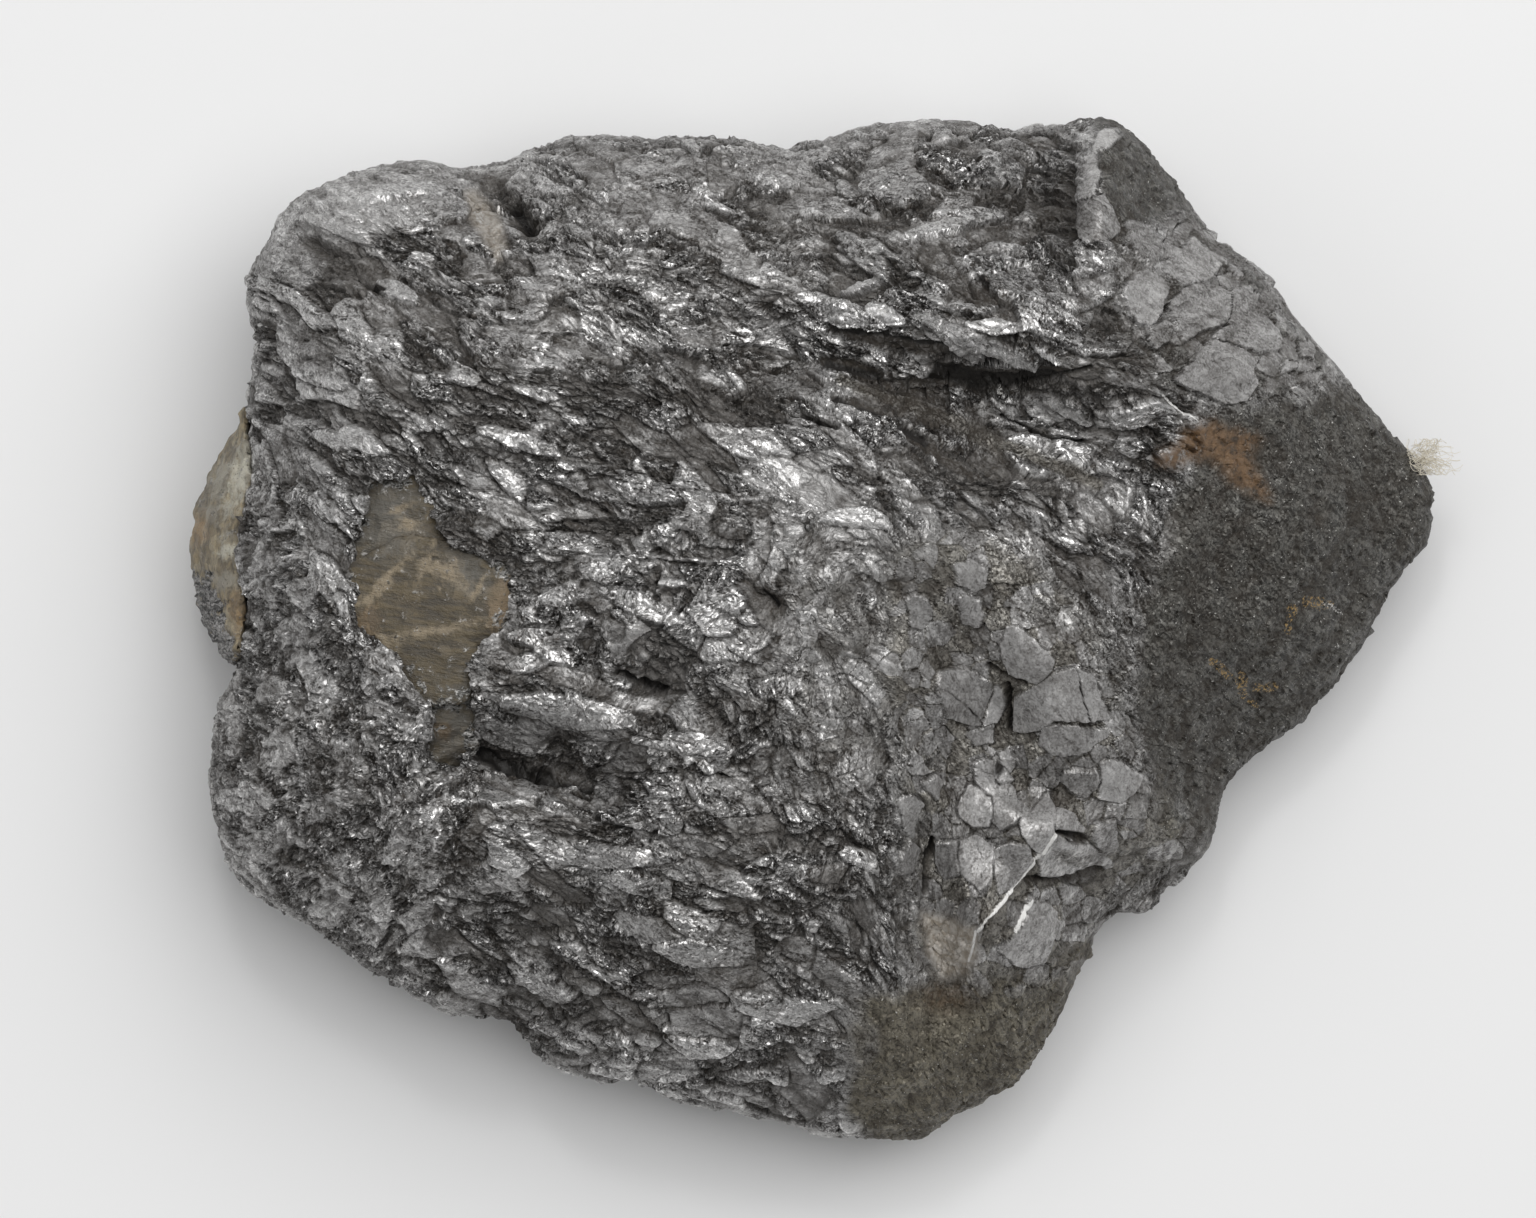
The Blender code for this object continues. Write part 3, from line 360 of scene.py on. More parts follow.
# Cells are the patches that the graphite cleaves into, each kind inside the one before. They lie along the
# run of the blades. Leans are slopes, the other measures are millimetres.
cellSets = {
    "leaves": {"spacing": 6.4, "stretch": 2.2, "wander": 12.0, "seed": 8,
               "step": 0.60, "along": 0.08, "across": 0.16, "gap": 0.26, "gapWidth": 0.34},
    "sheaves": {"spacing": 3.4, "stretch": 2.8, "wander": 16.0, "seed": 3,
                "step": 0.38, "along": 0.06, "across": 0.18, "gap": 0.27, "gapWidth": 0.21},
    "splinters": {"spacing": 1.6, "stretch": 3.6, "wander": 17.0, "seed": 4,
                  "step": 0.27, "along": 0.06, "across": 0.38, "gap": 0.26, "gapWidth": 0.17},
    "slivers": {"spacing": 0.8, "stretch": 3.6, "wander": 22.0, "seed": 7,
                "step": 0.17, "along": 0.08, "across": 0.50, "gap": 0.15, "gapWidth": 0.14},
    "hairs": {"spacing": 0.44, "stretch": 4.0, "wander": 20.0, "seed": 12,
              "step": 0.09, "along": 0.08, "across": 0.65, "gap": 0.06, "gapWidth": 0.10},
}
crumbs = {"spacing": 0.75, "stretch": 1.5, "wander": 60.0, "seed": 15,
          "step": 0.09, "along": 0.28, "across": 0.30, "gap": 0.04, "gapWidth": 0.10}
chips = {"spacing": 2.1, "stretch": 1.3, "wander": 70.0, "seed": 21,
         "step": 0.22, "along": 0.12, "across": 0.18, "gap": 0.16, "gapWidth": 0.10,
         "clean": (-0.35, -0.15), "slabClean": 0.30, "rim": (0.06, 0.18)}
breaks = {"spacing": 8.5, "stretch": 1.7, "wander": 35.0, "seed": 27,
          "step": 0.62, "along": 0.10, "across": 0.18, "gap": 0.30, "gapWidth": 0.45, "steep": (0.05, -0.30)}
# How wide the field of cells is, how far a cell strays from its row, and degrees of extra wander in places.
cellField = {"extent": 230.0, "jitter": 0.45, "flakyWander": 50.0, "crumpledWander": 32.0, "farthest": 1.35}


def makeCells(cells):
    dice = np.random.default_rng(cells["seed"])
    spacing = cells["spacing"]
    count = int(cellField["extent"] / spacing)
    x, y = np.meshgrid(*[(np.arange(count) - count / 2) * spacing] * 2, indexing="ij")
    x = x + dice.uniform(-1.0, 1.0, x.shape) * cellField["jitter"] * spacing
    y = y + dice.uniform(-1.0, 1.0, x.shape) * cellField["jitter"] * spacing
    places = np.column_stack([x.ravel(), y.ravel()])
    wander = cells["wander"] + cellField["flakyWander"] * mask(places, "flakyCorner").reshape(x.shape)
    wander = wander + cellField["crumpledWander"] * mask(places, "crumpled").reshape(x.shape)
    turn = runAt(places)[0].reshape(x.shape)
    turn = np.radians(turn + dice.normal(0.0, 1.0, x.shape) * wander)
    rolls = dice.uniform(-1.0, 1.0, (count, count, 5))
    return {"x": x, "y": y, "cos": np.cos(turn), "sin": np.sin(turn), "rolls": rolls, "count": count,
            "spacing": spacing, "stretch": cells["stretch"]}


def cellAt(points, run, cells):
    # which cell each place lies in, how far along and across it, and how far the next cell is
    farAlong = 1.0 + cellField["farthest"] * math.sqrt(cells["stretch"])
    farAcross = 1.0 + cellField["farthest"] / math.sqrt(cells["stretch"])
    reach = math.ceil(farAlong)
    column = np.round(points / cells["spacing"] + cells["count"] / 2).astype(int)
    cos, sin = np.cos(np.radians(run)), np.sin(np.radians(run))
    nearest, second = np.full(len(points), 1e9), np.full(len(points), 1e9)
    pick = np.zeros((len(points), 2), int)
    along, across = np.zeros(len(points)), np.zeros(len(points))
    for i in range(-reach, reach + 1):
        for j in range(-reach, reach + 1):
            near = (np.abs(i * cos + j * sin) < farAlong) & (np.abs(j * cos - i * sin) < farAcross)
            near = np.flatnonzero(near)
            if not len(near):
                continue
            cell = np.clip(column[near] + (i, j), 0, cells["count"] - 1)
            at = tuple(cell.T)
            dx, dy = points[near, 0] - cells["x"][at], points[near, 1] - cells["y"][at]
            a = dx * cells["cos"][at] + dy * cells["sin"][at]
            b = dy * cells["cos"][at] - dx * cells["sin"][at]
            away = np.hypot(a / cells["stretch"], b)
            closer = away < nearest[near]
            second[near] = np.where(closer, nearest[near], np.minimum(second[near], away))
            found = near[closer]
            nearest[found], pick[found] = away[closer], cell[closer]
            along[found], across[found] = a[closer], b[closer]
    rolls = cells["rolls"][tuple(pick.T)]
    return {"along": along, "across": across, "edge": second - nearest, "rolls": rolls}


def cleavedHeight(cell, cleavage):
    # each cell stands at its own height and leans its own way, with a gap round it
    rolls = cell["rolls"].T
    lean = cleavage["along"] * rolls[1] * cell["along"] + cleavage["across"] * rolls[2] * cell["across"]
    gap = cleavage["gap"] * np.exp(-(cell["edge"] / cleavage["gapWidth"]) ** 2)
    return cleavage["step"] * rolls[0] + lean - gap


noiseTable = np.random.default_rng(5).uniform(-0.8, 0.8, (64, 64, 64))


def noiseAt(points, size, shift=0.0):
    # smooth noise, the same on every run
    scaled = points / size + shift
    corner = np.floor(scaled).astype(int)
    share = smoothStep(0.0, 1.0, scaled - corner)
    total = np.zeros(len(points))
    for step in np.ndindex(2, 2, 2):
        weight = np.prod(np.where(step, share, 1.0 - share), axis=1)
        total += weight * noiseTable[tuple(((corner + step) % 64).T)]
    return total


lump = {
    # how fine its faces are: where it faces up, and on the flanks down to an edge in millimetres
    "cuts": 5, "upperSlope": 0.25, "lowerSlope": -0.72, "flankPasses": 4, "flankEdge": 0.75,
    "smoothPasses": 4, "crisp": 24.0,
    # size and reach of each sideways wander
    "warp": ((5.0, 0.5), (1.3, 0.12), (0.5, 0.05)), "ragged": ((1.6, 0.30), (0.6, 0.14)),
    "border": ((6.0, 2.0), (2.0, 1.2)),
    # which sheaves and splinters split clean, and how much relief the smoother places keep
    "calmSheaf": (-0.1, 0.5), "calmSplinter": (0.0, 0.5), "knobKeep": 0.36, "sheenKeep": 0.6,
    "feldsparKeep": 0.45, "leafKeep": 0.35, "plateKeep": 0.3,
    # heights and widths in millimetres
    "grainHeight": 0.22, "creviceDepth": 0.8, "leafRise": 0.35, "leafSink": 0.55, "plateRise": 0.25,
    "plateGrown": 0.35, "plateEdge": 0.16, "edgeWidth": 0.09, "cutReach": 0.001, "weld": 0.002,
    # how much crumb relief lies on plates and in the flaky corner, and how strongly depth darkens the colour
    # with dust and painted shade
    "plateCrumbs": 0.30, "flakyCrumbs": 1.5, "hollowDepth": 0.42,
    # how steeply a smooth face leans to the light, and where the light is
    "gleam": 0.23, "towardsLight": (0.55, 0.84),
}
skinTone = {  # how light each kind of skin is, from 0 to 1, and how much its cells differ
    # crest is a painted highlight along splinter crests that face the light
    "blades": 0.55, "calm": 0.12, "crest": 0.36,
    "cells": {"sheaves": 0.10, "splinters": 0.15, "slivers": 0.13, "hairs": 0.16},
    "knob": 0.66, "knobSlivers": 0.10, "flakyCrumbs": 0.20,
    "grain": 0.5, "grainSlab": 0.16, "grainRubble": 0.20, "grainMosaic": 0.06, "grainCrumbs": 0.12,
    "chips": 0.36, "chipCells": 0.14, "chipCrumbs": 0.05, "chipMosaic": 0.20,
    "plates": 0.68, "plateCrumbs": 0.06,
}
grainRegions = {  # how granular each region is, and how soft its border
    "granularFace": (1.0, 1.4), "brownFoot": (1.0, 1.4), "plateGround": (0.85, 1.0),
    "brokenGround": (0.75, 2.0), "mosaic": (0.42, 2.0),
}
blockEnds = {  # the lump is cut across here, in millimetres along it, so that no block is too heavy
    "graphiteLeft": (-80.0, -40.0), "graphiteInner": (-40.0, -24.0), "graphiteMiddle": (-24.0, -9.0),
    "graphiteCleft": (-9.0, 5.0), "graphiteShoulder": (5.0, 19.0), "graphitePlates": (19.0, 35.0),
    "graphiteTip": (35.0, 80.0),
}


def copyOfNode(nodeName):
    shape = bmesh.new()
    shape.from_mesh(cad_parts[nodeName].data)
    bmesh.ops.remove_doubles(shape, verts=shape.verts, dist=1e-6)
    bmesh.ops.recalc_face_normals(shape, faces=shape.faces)
    return shape


def evenOut(shape, passes=1):
    # each pass moves every vertex half way to the middle of its neighbours
    for _ in range(passes):
        bmesh.ops.smooth_vert(shape, verts=shape.verts, factor=0.5, use_axis_x=True, use_axis_y=True,
                              use_axis_z=True)


def halveEdges(shape, longest, lowest=-2.0):
    # cuts every edge past a length in millimetres, unless it faces further down than the slope
    long = [e for e in shape.edges if e.verts[0].normal.z + e.verts[1].normal.z > 2.0 * lowest
            and e.calc_length() > longest * mm]
    bmesh.ops.subdivide_edges(shape, edges=long, cuts=1, use_grid_fill=True)
    bmesh.ops.triangulate(shape, faces=shape.faces)


def meshPoints(mesh):
    points = np.empty(len(mesh.vertices) * 3, np.float32)
    mesh.vertices.foreach_get("co", points)
    return points.reshape(-1, 3).astype(float) / mm


def meshNormals(mesh):
    normals = np.empty(len(mesh.vertices) * 3, np.float32)
    mesh.vertex_normals.foreach_get("vector", normals)
    return normals.reshape(-1, 3).astype(float)


def movePoints(mesh, points):
    mesh.vertices.foreach_set("co", (points * mm).astype(np.float32).ravel())
    mesh.update()


def setAttribute(mesh, name, values):
    layer = mesh.attributes.new(name, "FLOAT", "POINT")
    layer.data.foreach_set("value", np.ascontiguousarray(values, np.float32))


def setGrainUv(mesh, along, across):
    # the grain map runs along and across the blades, in millimetres
    corner = np.empty(len(mesh.loops), np.int32)
    mesh.loops.foreach_get("vertex_index", corner)
    layer = mesh.uv_layers.new(name="grain")
    layer.data.foreach_set("uv", np.column_stack([along, across])[corner].astype(np.float32).ravel())


def lensInside(plan, start, end, width):
    # millimetres inside a leaf shape, and the nearest point of its midline
    foot, share = nearestOn(plan, start, end)
    halfWidth = 0.5 * width * np.sin(math.pi * (0.12 + 0.76 * share)) ** 0.6
    return halfWidth - np.hypot(*(plan - foot).T), foot


def platesAt(plan):
    # for each place: how much of a plate it is, the plate's number and how far inside its edge it lies
    inside, second, number = np.full(len(plan), -9.0), np.full(len(plan), -9.0), np.zeros(len(plan), int)
    for i, (_, _, outline) in enumerate(plates):
        corners = np.array(outline)
        near = (plan > corners.min(axis=0) - 1.0) & (plan < corners.max(axis=0) + 1.0)
        near = np.flatnonzero(near.all(axis=1))
        depth = insideBy(plan[near], outline)
        closer = depth > inside[near]
        second[near] = np.where(closer, inside[near], np.maximum(second[near], depth))
        inside[near[closer]], number[near[closer]] = depth[closer], i
    grown = lump["plateGrown"]
    plate = smoothStep(-grown, 0.25 - grown, inside)
    return plate, number, np.minimum(inside + grown, 0.5 * (inside - second))


def regionMasks(plan, up):
    # how much each place is plate and how much granular, from 0 to 1
    plate = platesAt(plan)[0] * smoothStep(0.15, 0.45, up)
    grain = mask(plan, "peakFace", 0.8)
    wide = warped(plan, lump["border"])
    for name, (share, soft) in grainRegions.items():
        grain = np.maximum(grain, share * mask(wide, name, soft))
    return plate, grain * (1.0 - plate)


def fromSpot(plan, x, y, reach, width, turn):
    # squared distance from the middle of an oval spot, 1 at its edge
    offset = (plan - (x, y)) @ np.array(Matrix.Rotation(math.radians(turn), 2, "Z"))
    return ((offset / (reach, width)) ** 2).sum(axis=1)


def lineMask(plan, lines):
    # how much each place lies on one of the thin lines or specks
    nearest = np.full(len(plan), 9.0)
    for x0, y0, x1, y1, width in lines:
        away = np.hypot(*(plan - nearestOn(plan, (x0, y0), (x1, y1))[0]).T)
        nearest = np.minimum(nearest, 2.0 * away / width)
    return smoothStep(1.5, 0.4, nearest)


def warped(plan, warps):
    # the same places, drawn a little sideways so that no cell has straight sides
    flat = np.column_stack([plan, np.zeros(len(plan))])
    moved = plan.copy()
    for size, reach in warps:
        moved[:, 0] += reach * noiseAt(flat, size, 3.0)
        moved[:, 1] += reach * noiseAt(flat, size, 31.0)
    return moved


def unrolled(points, ups):
    # places seen from above, with the flanks folded out flat below the rim
    plan, z = points[:, :2] - middle, points[:, 2]
    angle = np.degrees(np.arctan2(plan[:, 1], plan[:, 0]))
    sectors = np.arange(-180.0, 180.0, 15.0)
    rim = [z[(ups > 0.4) & (np.abs((angle - s + 180.0) % 360.0 - 180.0) < 9.0)].min() for s in sectors]
    depth = np.maximum(0.0, np.interp(angle, sectors, rim, period=360.0) - z)
    return plan * (1.0 + depth / np.maximum(np.hypot(*plan.T), 1.0))[:, None]


def fineShape():
    # the graphite solid with small faces: smallest where it faces up
    shape = copyOfNode("graphite_mass")
    bmesh.ops.subdivide_edges(shape, edges=shape.edges, cuts=1, use_grid_fill=True)
    evenOut(shape)
    shape.normal_update()
    upper = [e for e in shape.edges if all(v.normal.z > lump["upperSlope"] for v in e.verts)]
    bmesh.ops.subdivide_edges(shape, edges=upper, cuts=lump["cuts"], use_grid_fill=True)
    bmesh.ops.triangulate(shape, faces=shape.faces)
    for _ in range(lump["flankPasses"]):
        shape.normal_update()
        halveEdges(shape, lump["flankEdge"], lump["lowerSlope"])
    evenOut(shape, lump["smoothPasses"])
    mesh = bpy.data.meshes.new("lump")
    shape.to_mesh(mesh)
    shape.free()
    return mesh


def bladedHeight(found, coarse, flaky):
    # the cleaved relief, and how calm each place is: some sheaves and splinters split clean
    calmSheaf = smoothStep(*lump["calmSheaf"], found["sheaves"]["rolls"][:, 4])
    calmSplinter = smoothStep(*lump["calmSplinter"], found["splinters"]["rolls"][:, 4])
    loose = (1.0 - 0.8 * calmSheaf) * (1.0 - 0.8 * calmSplinter)
    shares = {
        "leaves": smoothStep(1.0, 1.5, coarse),
        "sheaves": np.clip(coarse, 0.5, 1.0) * (1.0 - 0.65 * flaky),
        "splinters": (1.0 - 0.7 * calmSheaf) * (1.0 - 0.4 * flaky),
        "slivers": loose,
        "hairs": 0.3 + 0.7 * loose,
    }
    height = sum(share * cleavedHeight(found[name], cellSets[name]) for name, share in shares.items())
    return height, 1.0 - loose


def bladedTone(found, calm):
    # each cell has its own tone, and a raised splinter gets a painted highlight along the crest that faces
    # the light
    tone = skinTone["blades"] + skinTone["calm"] * calm
    tone = tone + sum(share * found[name]["rolls"][:, 3] for name, share in skinTone["cells"].items())
    blade = found["splinters"]
    # painted highlight: lighter tone along the crest that faces the light
    crest = np.exp(-((blade["edge"] - 0.24) / 0.14) ** 2) * smoothStep(-0.1, 0.5, blade["rolls"][:, 0])
    return tone + skinTone["crest"] * crest * smoothStep(0.0, 0.3, blade["across"] * blade["rolls"][:, 2])


def sinkHollows(skin, plan, drawn, crevice):
    # rounded hollows, drawn a little sideways with the skin, and the narrow crevices
    for x0, y0, x1, y1, width, depth in pits:
        away = np.hypot(*(drawn - nearestOn(plan, (x0, y0), (x1, y1))[0]).T) / (0.5 * width)
        skin["height"] -= depth * np.exp(-away**2)
    skin["height"] -= lump["creviceDepth"] * crevice


def layLeaves(skin, plan, between, upward):
    # each leaf lies over what is there: a light one stands proud with a painted highlight, a dark one lies in
    # a hollow with painted shade
    for x0, y0, x1, y1, width, light, gleam in leaves:
        inside, foot = lensInside(between, (x0, y0), (x1, y1), width)
        here = smoothStep(-0.05, 0.22, inside) * upward
        lean = -lump["gleam"] * gleam * ((plan - foot) @ lump["towardsLight"])
        rise = lump["leafRise"] if light > 0.3 else -lump["leafSink"]
        skin["height"] += here * (rise + lean - (1.0 - lump["leafKeep"]) * skin["height"])
        # painted light: dark leaves carry painted shade, the lightest carry painted highlights
        skin["tone"] += here * (light - skin["tone"])
        skin["calm"] = np.maximum(skin["calm"], here)


def layPlates(skin, plan, ragged, plate, upward, crumb):
    # each plate lies over what is there, leans its own way and has a groove round it
    _, number, inside = platesAt(ragged)
    light, gleam = (np.array([p[i] for p in plates])[number] for i in (0, 1))
    centre = np.array([np.mean(p[2], axis=0) for p in plates])[number]
    lean = -lump["gleam"] * gleam * ((plan - centre) @ lump["towardsLight"])
    rim = np.exp(-(inside / lump["edgeWidth"]) ** 2)
    skin["height"] += plate * (lump["plateRise"] + lean - (1.0 - lump["plateKeep"]) * skin["height"])
    skin["height"] -= lump["plateEdge"] * rim * upward
    light = skinTone["plates"] * light + skinTone["plateCrumbs"] * crumb["rolls"][:, 3]
    skin["tone"] += plate * (light - skin["tone"])
    return rim


def stains(plan, ragged, drawn, mosaic, dust):
    # how much rust, quartz, specks, painted ridge highlights and brown dirt lie on each place, from 0 to 1
    tinge = 0.45 * np.exp(-fromSpot(plan, *rustTinge))
    brown = (mask(drawn, "brownFoot", 2.0), 0.75 * mask(drawn, "brokenGround", 2.5), 0.4 * mosaic, dust)
    return {
        "rust": np.maximum(mask(drawn, "rust", 1.0), tinge),
        "quartz": np.maximum(mask(drawn, "quartz", 0.8), 0.75 * mask(drawn, "quartzSliver", 0.6)),
        "ridgeHighlight": lineMask(0.3 * ragged + 0.7 * plan, ridgeHighlights),
        "yellow": lineMask(ragged, yellowSpecks),
        "whiteAndGlint": lineMask(ragged, whiteSpecksAndGlints),
        "brown": np.maximum.reduce(brown),
    }


def facesOf(mesh):
    corners = np.empty(len(mesh.loops), np.int32)
    mesh.loops.foreach_get("vertex_index", corners)
    return corners.reshape(-1, 3)


def makeBlock(name, points, faces, values):
    # one closed block of the lump, with every value kept as an attribute
    low, high = (middle[0] + end for end in blockEnds[name])
    x = points[faces, 0]
    used, corners = np.unique(faces[(x.max(axis=1) > low) & (x.min(axis=1) < high)], return_inverse=True)
    mesh = bpy.data.meshes.new(name)
    mesh.from_pydata(points[used] * mm, [], corners.reshape(-1, 3))
    for key, value in values.items():
        setAttribute(mesh, key, value[used])
    block = bmesh.new()
    block.from_mesh(mesh)
    bpy.data.meshes.remove(mesh)
    for end, side in ((low, -1.0), (high, 1.0)):
        near = [f for f in block.faces if min(side * (v.co.x / mm - end) for v in f.verts) < lump["cutReach"]
                and max(side * (v.co.x / mm - end) for v in f.verts) > -lump["cutReach"]]
        near += dict.fromkeys(part for f in near for part in (*f.edges, *f.verts))
        bmesh.ops.bisect_plane(block, geom=near, plane_co=(end * mm, 0.0, 0.0), plane_no=(side, 0.0, 0.0),
                               clear_outer=True)
    rim = list(dict.fromkeys(v for e in block.edges if e.is_boundary for v in e.verts))
    bmesh.ops.remove_doubles(block, verts=rim, dist=lump["weld"] * mm)
    bmesh.ops.holes_fill(block, edges=[e for e in block.edges if e.is_boundary])
    bmesh.ops.recalc_face_normals(block, faces=block.faces)
    return objectFrom(name, block)


def cleaveSkin(points, normals):
    # how far each point of the lump moves along its normal, and what its material has to know
    plan, up = points[:, :2] - middle, normals[:, 2]
    ragged, drawn = warped(plan, lump["ragged"]), warped(plan, lump["warp"])
    folded = warped(unrolled(points, up), lump["warp"])
    run, coarse = runAt(folded)
    found = {name: cellAt(folded, run, cells[name]) for name in cells}
    crumb = cellAt(folded, run, makeCells(crumbs))
    chip = cellAt(warped(folded, lump["ragged"]), run, makeCells(chips))
    plate, grain = regionMasks(ragged, up)
    bladed = (1.0 - plate) * (1.0 - grain)

    flaky = mask(drawn, "flakyCorner", 2.0)
    relief, calm = bladedHeight(found, coarse, flaky)
    tone = bladedTone(found, calm)
    knob = mask(drawn, "knob", 1.2) * smoothStep(-0.45, 0.05, up)
    sheen = mask(drawn, "sheen", 2.2)
    besideFeldspar = smoothStep(-2.2, -0.4, insideBy(plan, regions["feldspar"])) * smoothStep(0.2, 0.5, up)
    for place, keep in ((knob, "knobKeep"), (sheen, "sheenKeep"), (besideFeldspar, "feldsparKeep")):
        relief *= 1.0 - (1.0 - lump[keep]) * place
    calm = np.maximum.reduce([calm, 0.8 * knob, 0.6 * sheen])
    knobTone = skinTone["knob"] + skinTone["knobSlivers"] * found["slivers"]["rolls"][:, 3]
    tone += knob * smoothStep(0.0, 0.45, up) * (knobTone - tone)
    relief += lump["flakyCrumbs"] * flaky * cleavedHeight(crumb, crumbs)
    tone += skinTone["flakyCrumbs"] * flaky * crumb["rolls"][:, 3]

    # clean chips and crumbly grain on the ground between the plates
    slab, rubble, mosaic = (mask(ragged, name, 2.0) for name in ("plateGround", "brokenGround", "mosaic"))
    patchwork = np.maximum.reduce([slab, rubble, mosaic])
    clean = smoothStep(*chips["clean"], chip["rolls"][:, 4] + chips["slabClean"] * slab)
    chipped = clean * smoothStep(*chips["rim"], chip["edge"]) * patchwork * grain
    grain = grain - chipped
    dust = 0.75 * lineMask(drawn, dustLines)
    bladed, grain = bladed * (1.0 - dust), np.maximum(grain, dust)
    steep = smoothStep(*breaks["steep"], up) * (1.0 - 0.8 * knob)
    height = steep * cleavedHeight(cellAt(folded, run, makeCells(breaks)), breaks) + bladed * relief
    height += (grain + lump["plateCrumbs"] * (plate + chipped)) * cleavedHeight(crumb, crumbs)
    height += (grain + chipped) * patchwork * cleavedHeight(chip, chips)
    ground = skinTone["grain"] + skinTone["grainSlab"] * slab + skinTone["grainRubble"] * rubble
    ground += skinTone["grainMosaic"] * mosaic + skinTone["grainCrumbs"] * crumb["rolls"][:, 3]
    tone += grain * (ground - tone)
    chipTone = skinTone["chips"] + skinTone["chipCells"] * chip["rolls"][:, 3]
    chipTone += skinTone["chipCrumbs"] * crumb["rolls"][:, 3] + skinTone["chipMosaic"] * mosaic
    tone += chipped * (chipTone - tone)

    skin = {"height": height, "tone": tone, "calm": calm}
    between, upward = 0.5 * (ragged + drawn), smoothStep(0.3, 0.6, up)
    crevice = lineMask(between, crevices)
    sinkHollows(skin, plan, drawn, crevice)
    layLeaves(skin, plan, between, upward)
    rim = layPlates(skin, plan, ragged, plate, upward, crumb)
    # painted sheen and painted shade, laid on as tone together with real changes of tone
    for x, y, reach, width, turn, change in toneSheenAndShadeSpots:
        skin["tone"] += change * np.exp(-fromSpot(plan, x, y, reach, width, turn))
    skin["height"] += grain * lump["grainHeight"] * (noiseAt(points, 2.4) + 0.7 * noiseAt(points, 1.0, 5.0))
    skin["height"] *= smoothStep(0.2, 1.0, points[:, 2])

    patches = smoothStep(-0.25, 0.25, noiseAt(points, 1.7, 12.0))
    flat = np.maximum(plate, chipped)
    values = {
        # crack is painted shade along the crevices and round the plates
        "crack": np.maximum(plate * patches * rim, 0.9 * crevice), "tone": skin["tone"],
        "hollow": 0.5 - lump["hollowDepth"] * skin["height"], "plate": flat, "granular": grain,
        "calm": np.maximum(skin["calm"] * bladed, flat), **stains(plan, ragged, drawn, mosaic, dust),
        "grainAlong": found["splinters"]["along"] + 37.0 * found["splinters"]["rolls"][:, 0],
        "grainAcross": found["splinters"]["across"] + 23.0 * found["splinters"]["rolls"][:, 1],
    }
    return skin["height"], values


def makeLump():
    lumpMesh = fineShape()
    points, normals, faces = meshPoints(lumpMesh), meshNormals(lumpMesh), facesOf(lumpMesh)
    print("lump:", len(points), "points")
    height, values = cleaveSkin(points, normals)
    movePoints(lumpMesh, points + normals * height[:, None])
    points = meshPoints(lumpMesh)
    for name in blockEnds:
        obj = makeBlock(name, points, faces, values)
        mesh = obj.data
        grain = {}
        for key in ("grainAlong", "grainAcross"):
            grain[key] = np.empty(len(mesh.vertices), np.float32)
            mesh.attributes[key].data.foreach_get("value", grain[key])
            mesh.attributes.remove(mesh.attributes[key])
        setGrainUv(mesh, grain["grainAlong"], grain["grainAcross"])
        mesh.materials.append(materials["graphite"])
        mesh.shade_smooth()
        mesh.set_sharp_from_angle(angle=math.radians(lump["crisp"]))
        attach(obj, "root")
        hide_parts("graphite_mass")
        print(obj.name + ":", len(mesh.polygons), "triangles")
    bpy.data.meshes.remove(lumpMesh)


def makeNode(tree, kind, **settings):
    made = tree.nodes.new(kind)
    for key, value in settings.items():
        if key.startswith("in_"):
            made.inputs[key[3:].replace("_", " ")].default_value = value
        else:
            setattr(made, key, value)
    return made


def link(source, target):
    target.id_data.links.new(source, target)


def fill(socket, value):
    # a socket takes a link, a number or a colour
    if isinstance(value, bpy.types.NodeSocket):
        link(value, socket)
    else:
        socket.default_value = (*value, 1.0) if socket.type == "RGBA" else value


def calculated(operation, first, second, clamp=False):
    tree = next(value for value in (first, second) if isinstance(value, bpy.types.NodeSocket)).id_data
    made = makeNode(tree, "ShaderNodeMath", operation=operation, use_clamp=clamp)
    fill(made.inputs[0], first)
    fill(made.inputs[1], second)
    return made.outputs[0]


def times(first, second):
    return calculated("MULTIPLY", first, second)


def plus(first, second, clamp=False):
    return calculated("ADD", first, second, clamp)


def minus(first, second, clamp=False):
    return calculated("SUBTRACT", first, second, clamp)


def larger(first, second):
    return calculated("MAXIMUM", first, second)


def vectorMath(operation, first, second=None):
    made = makeNode(first.id_data, "ShaderNodeVectorMath", operation=operation)
    link(first, made.inputs[0])
    if second is not None:
        fill(made.inputs["Scale" if operation == "SCALE" else 1], second)
    return made.outputs[0]


def mixColour(share, first, second):
    made = makeNode(share.id_data, "ShaderNodeMix", data_type="RGBA")
    for number, value in ((0, share), (6, first), (7, second)):
        fill(made.inputs[number], value)
    return made.outputs[2]


def remap(value, low, high, toLow=0.0, toHigh=1.0):
    made = makeNode(value.id_data, "ShaderNodeMapRange", clamp=True)
    for socket, given in zip(made.inputs, (value, low, high, toLow, toHigh)):
        fill(socket, given)
    return made.outputs[0]


def mapped(vector, key, value):
    made = makeNode(vector.id_data, "ShaderNodeMapping")
    made.inputs[key].default_value = value
    link(vector, made.inputs["Vector"])
    return made.outputs[0]


def scaledNoise(vector, scale, detail=2.0, roughness=0.5, stretch=None):
    vector = mapped(vector, "Scale", stretch) if stretch else vector
    made = makeNode(vector.id_data, "ShaderNodeTexNoise", in_Scale=scale, in_Detail=detail,
                    in_Roughness=roughness)
    link(vector, made.inputs["Vector"])
    return made.outputs["Fac"]


def cellTexture(vector, scale, **settings):
    made = makeNode(vector.id_data, "ShaderNodeTexVoronoi", in_Scale=scale, **settings)
    link(vector, made.inputs["Vector"])
    return made.outputs


def channels(colour):
    split = makeNode(colour.id_data, "ShaderNodeSeparateColor")
    link(colour, split.inputs[0])
    return split.outputs


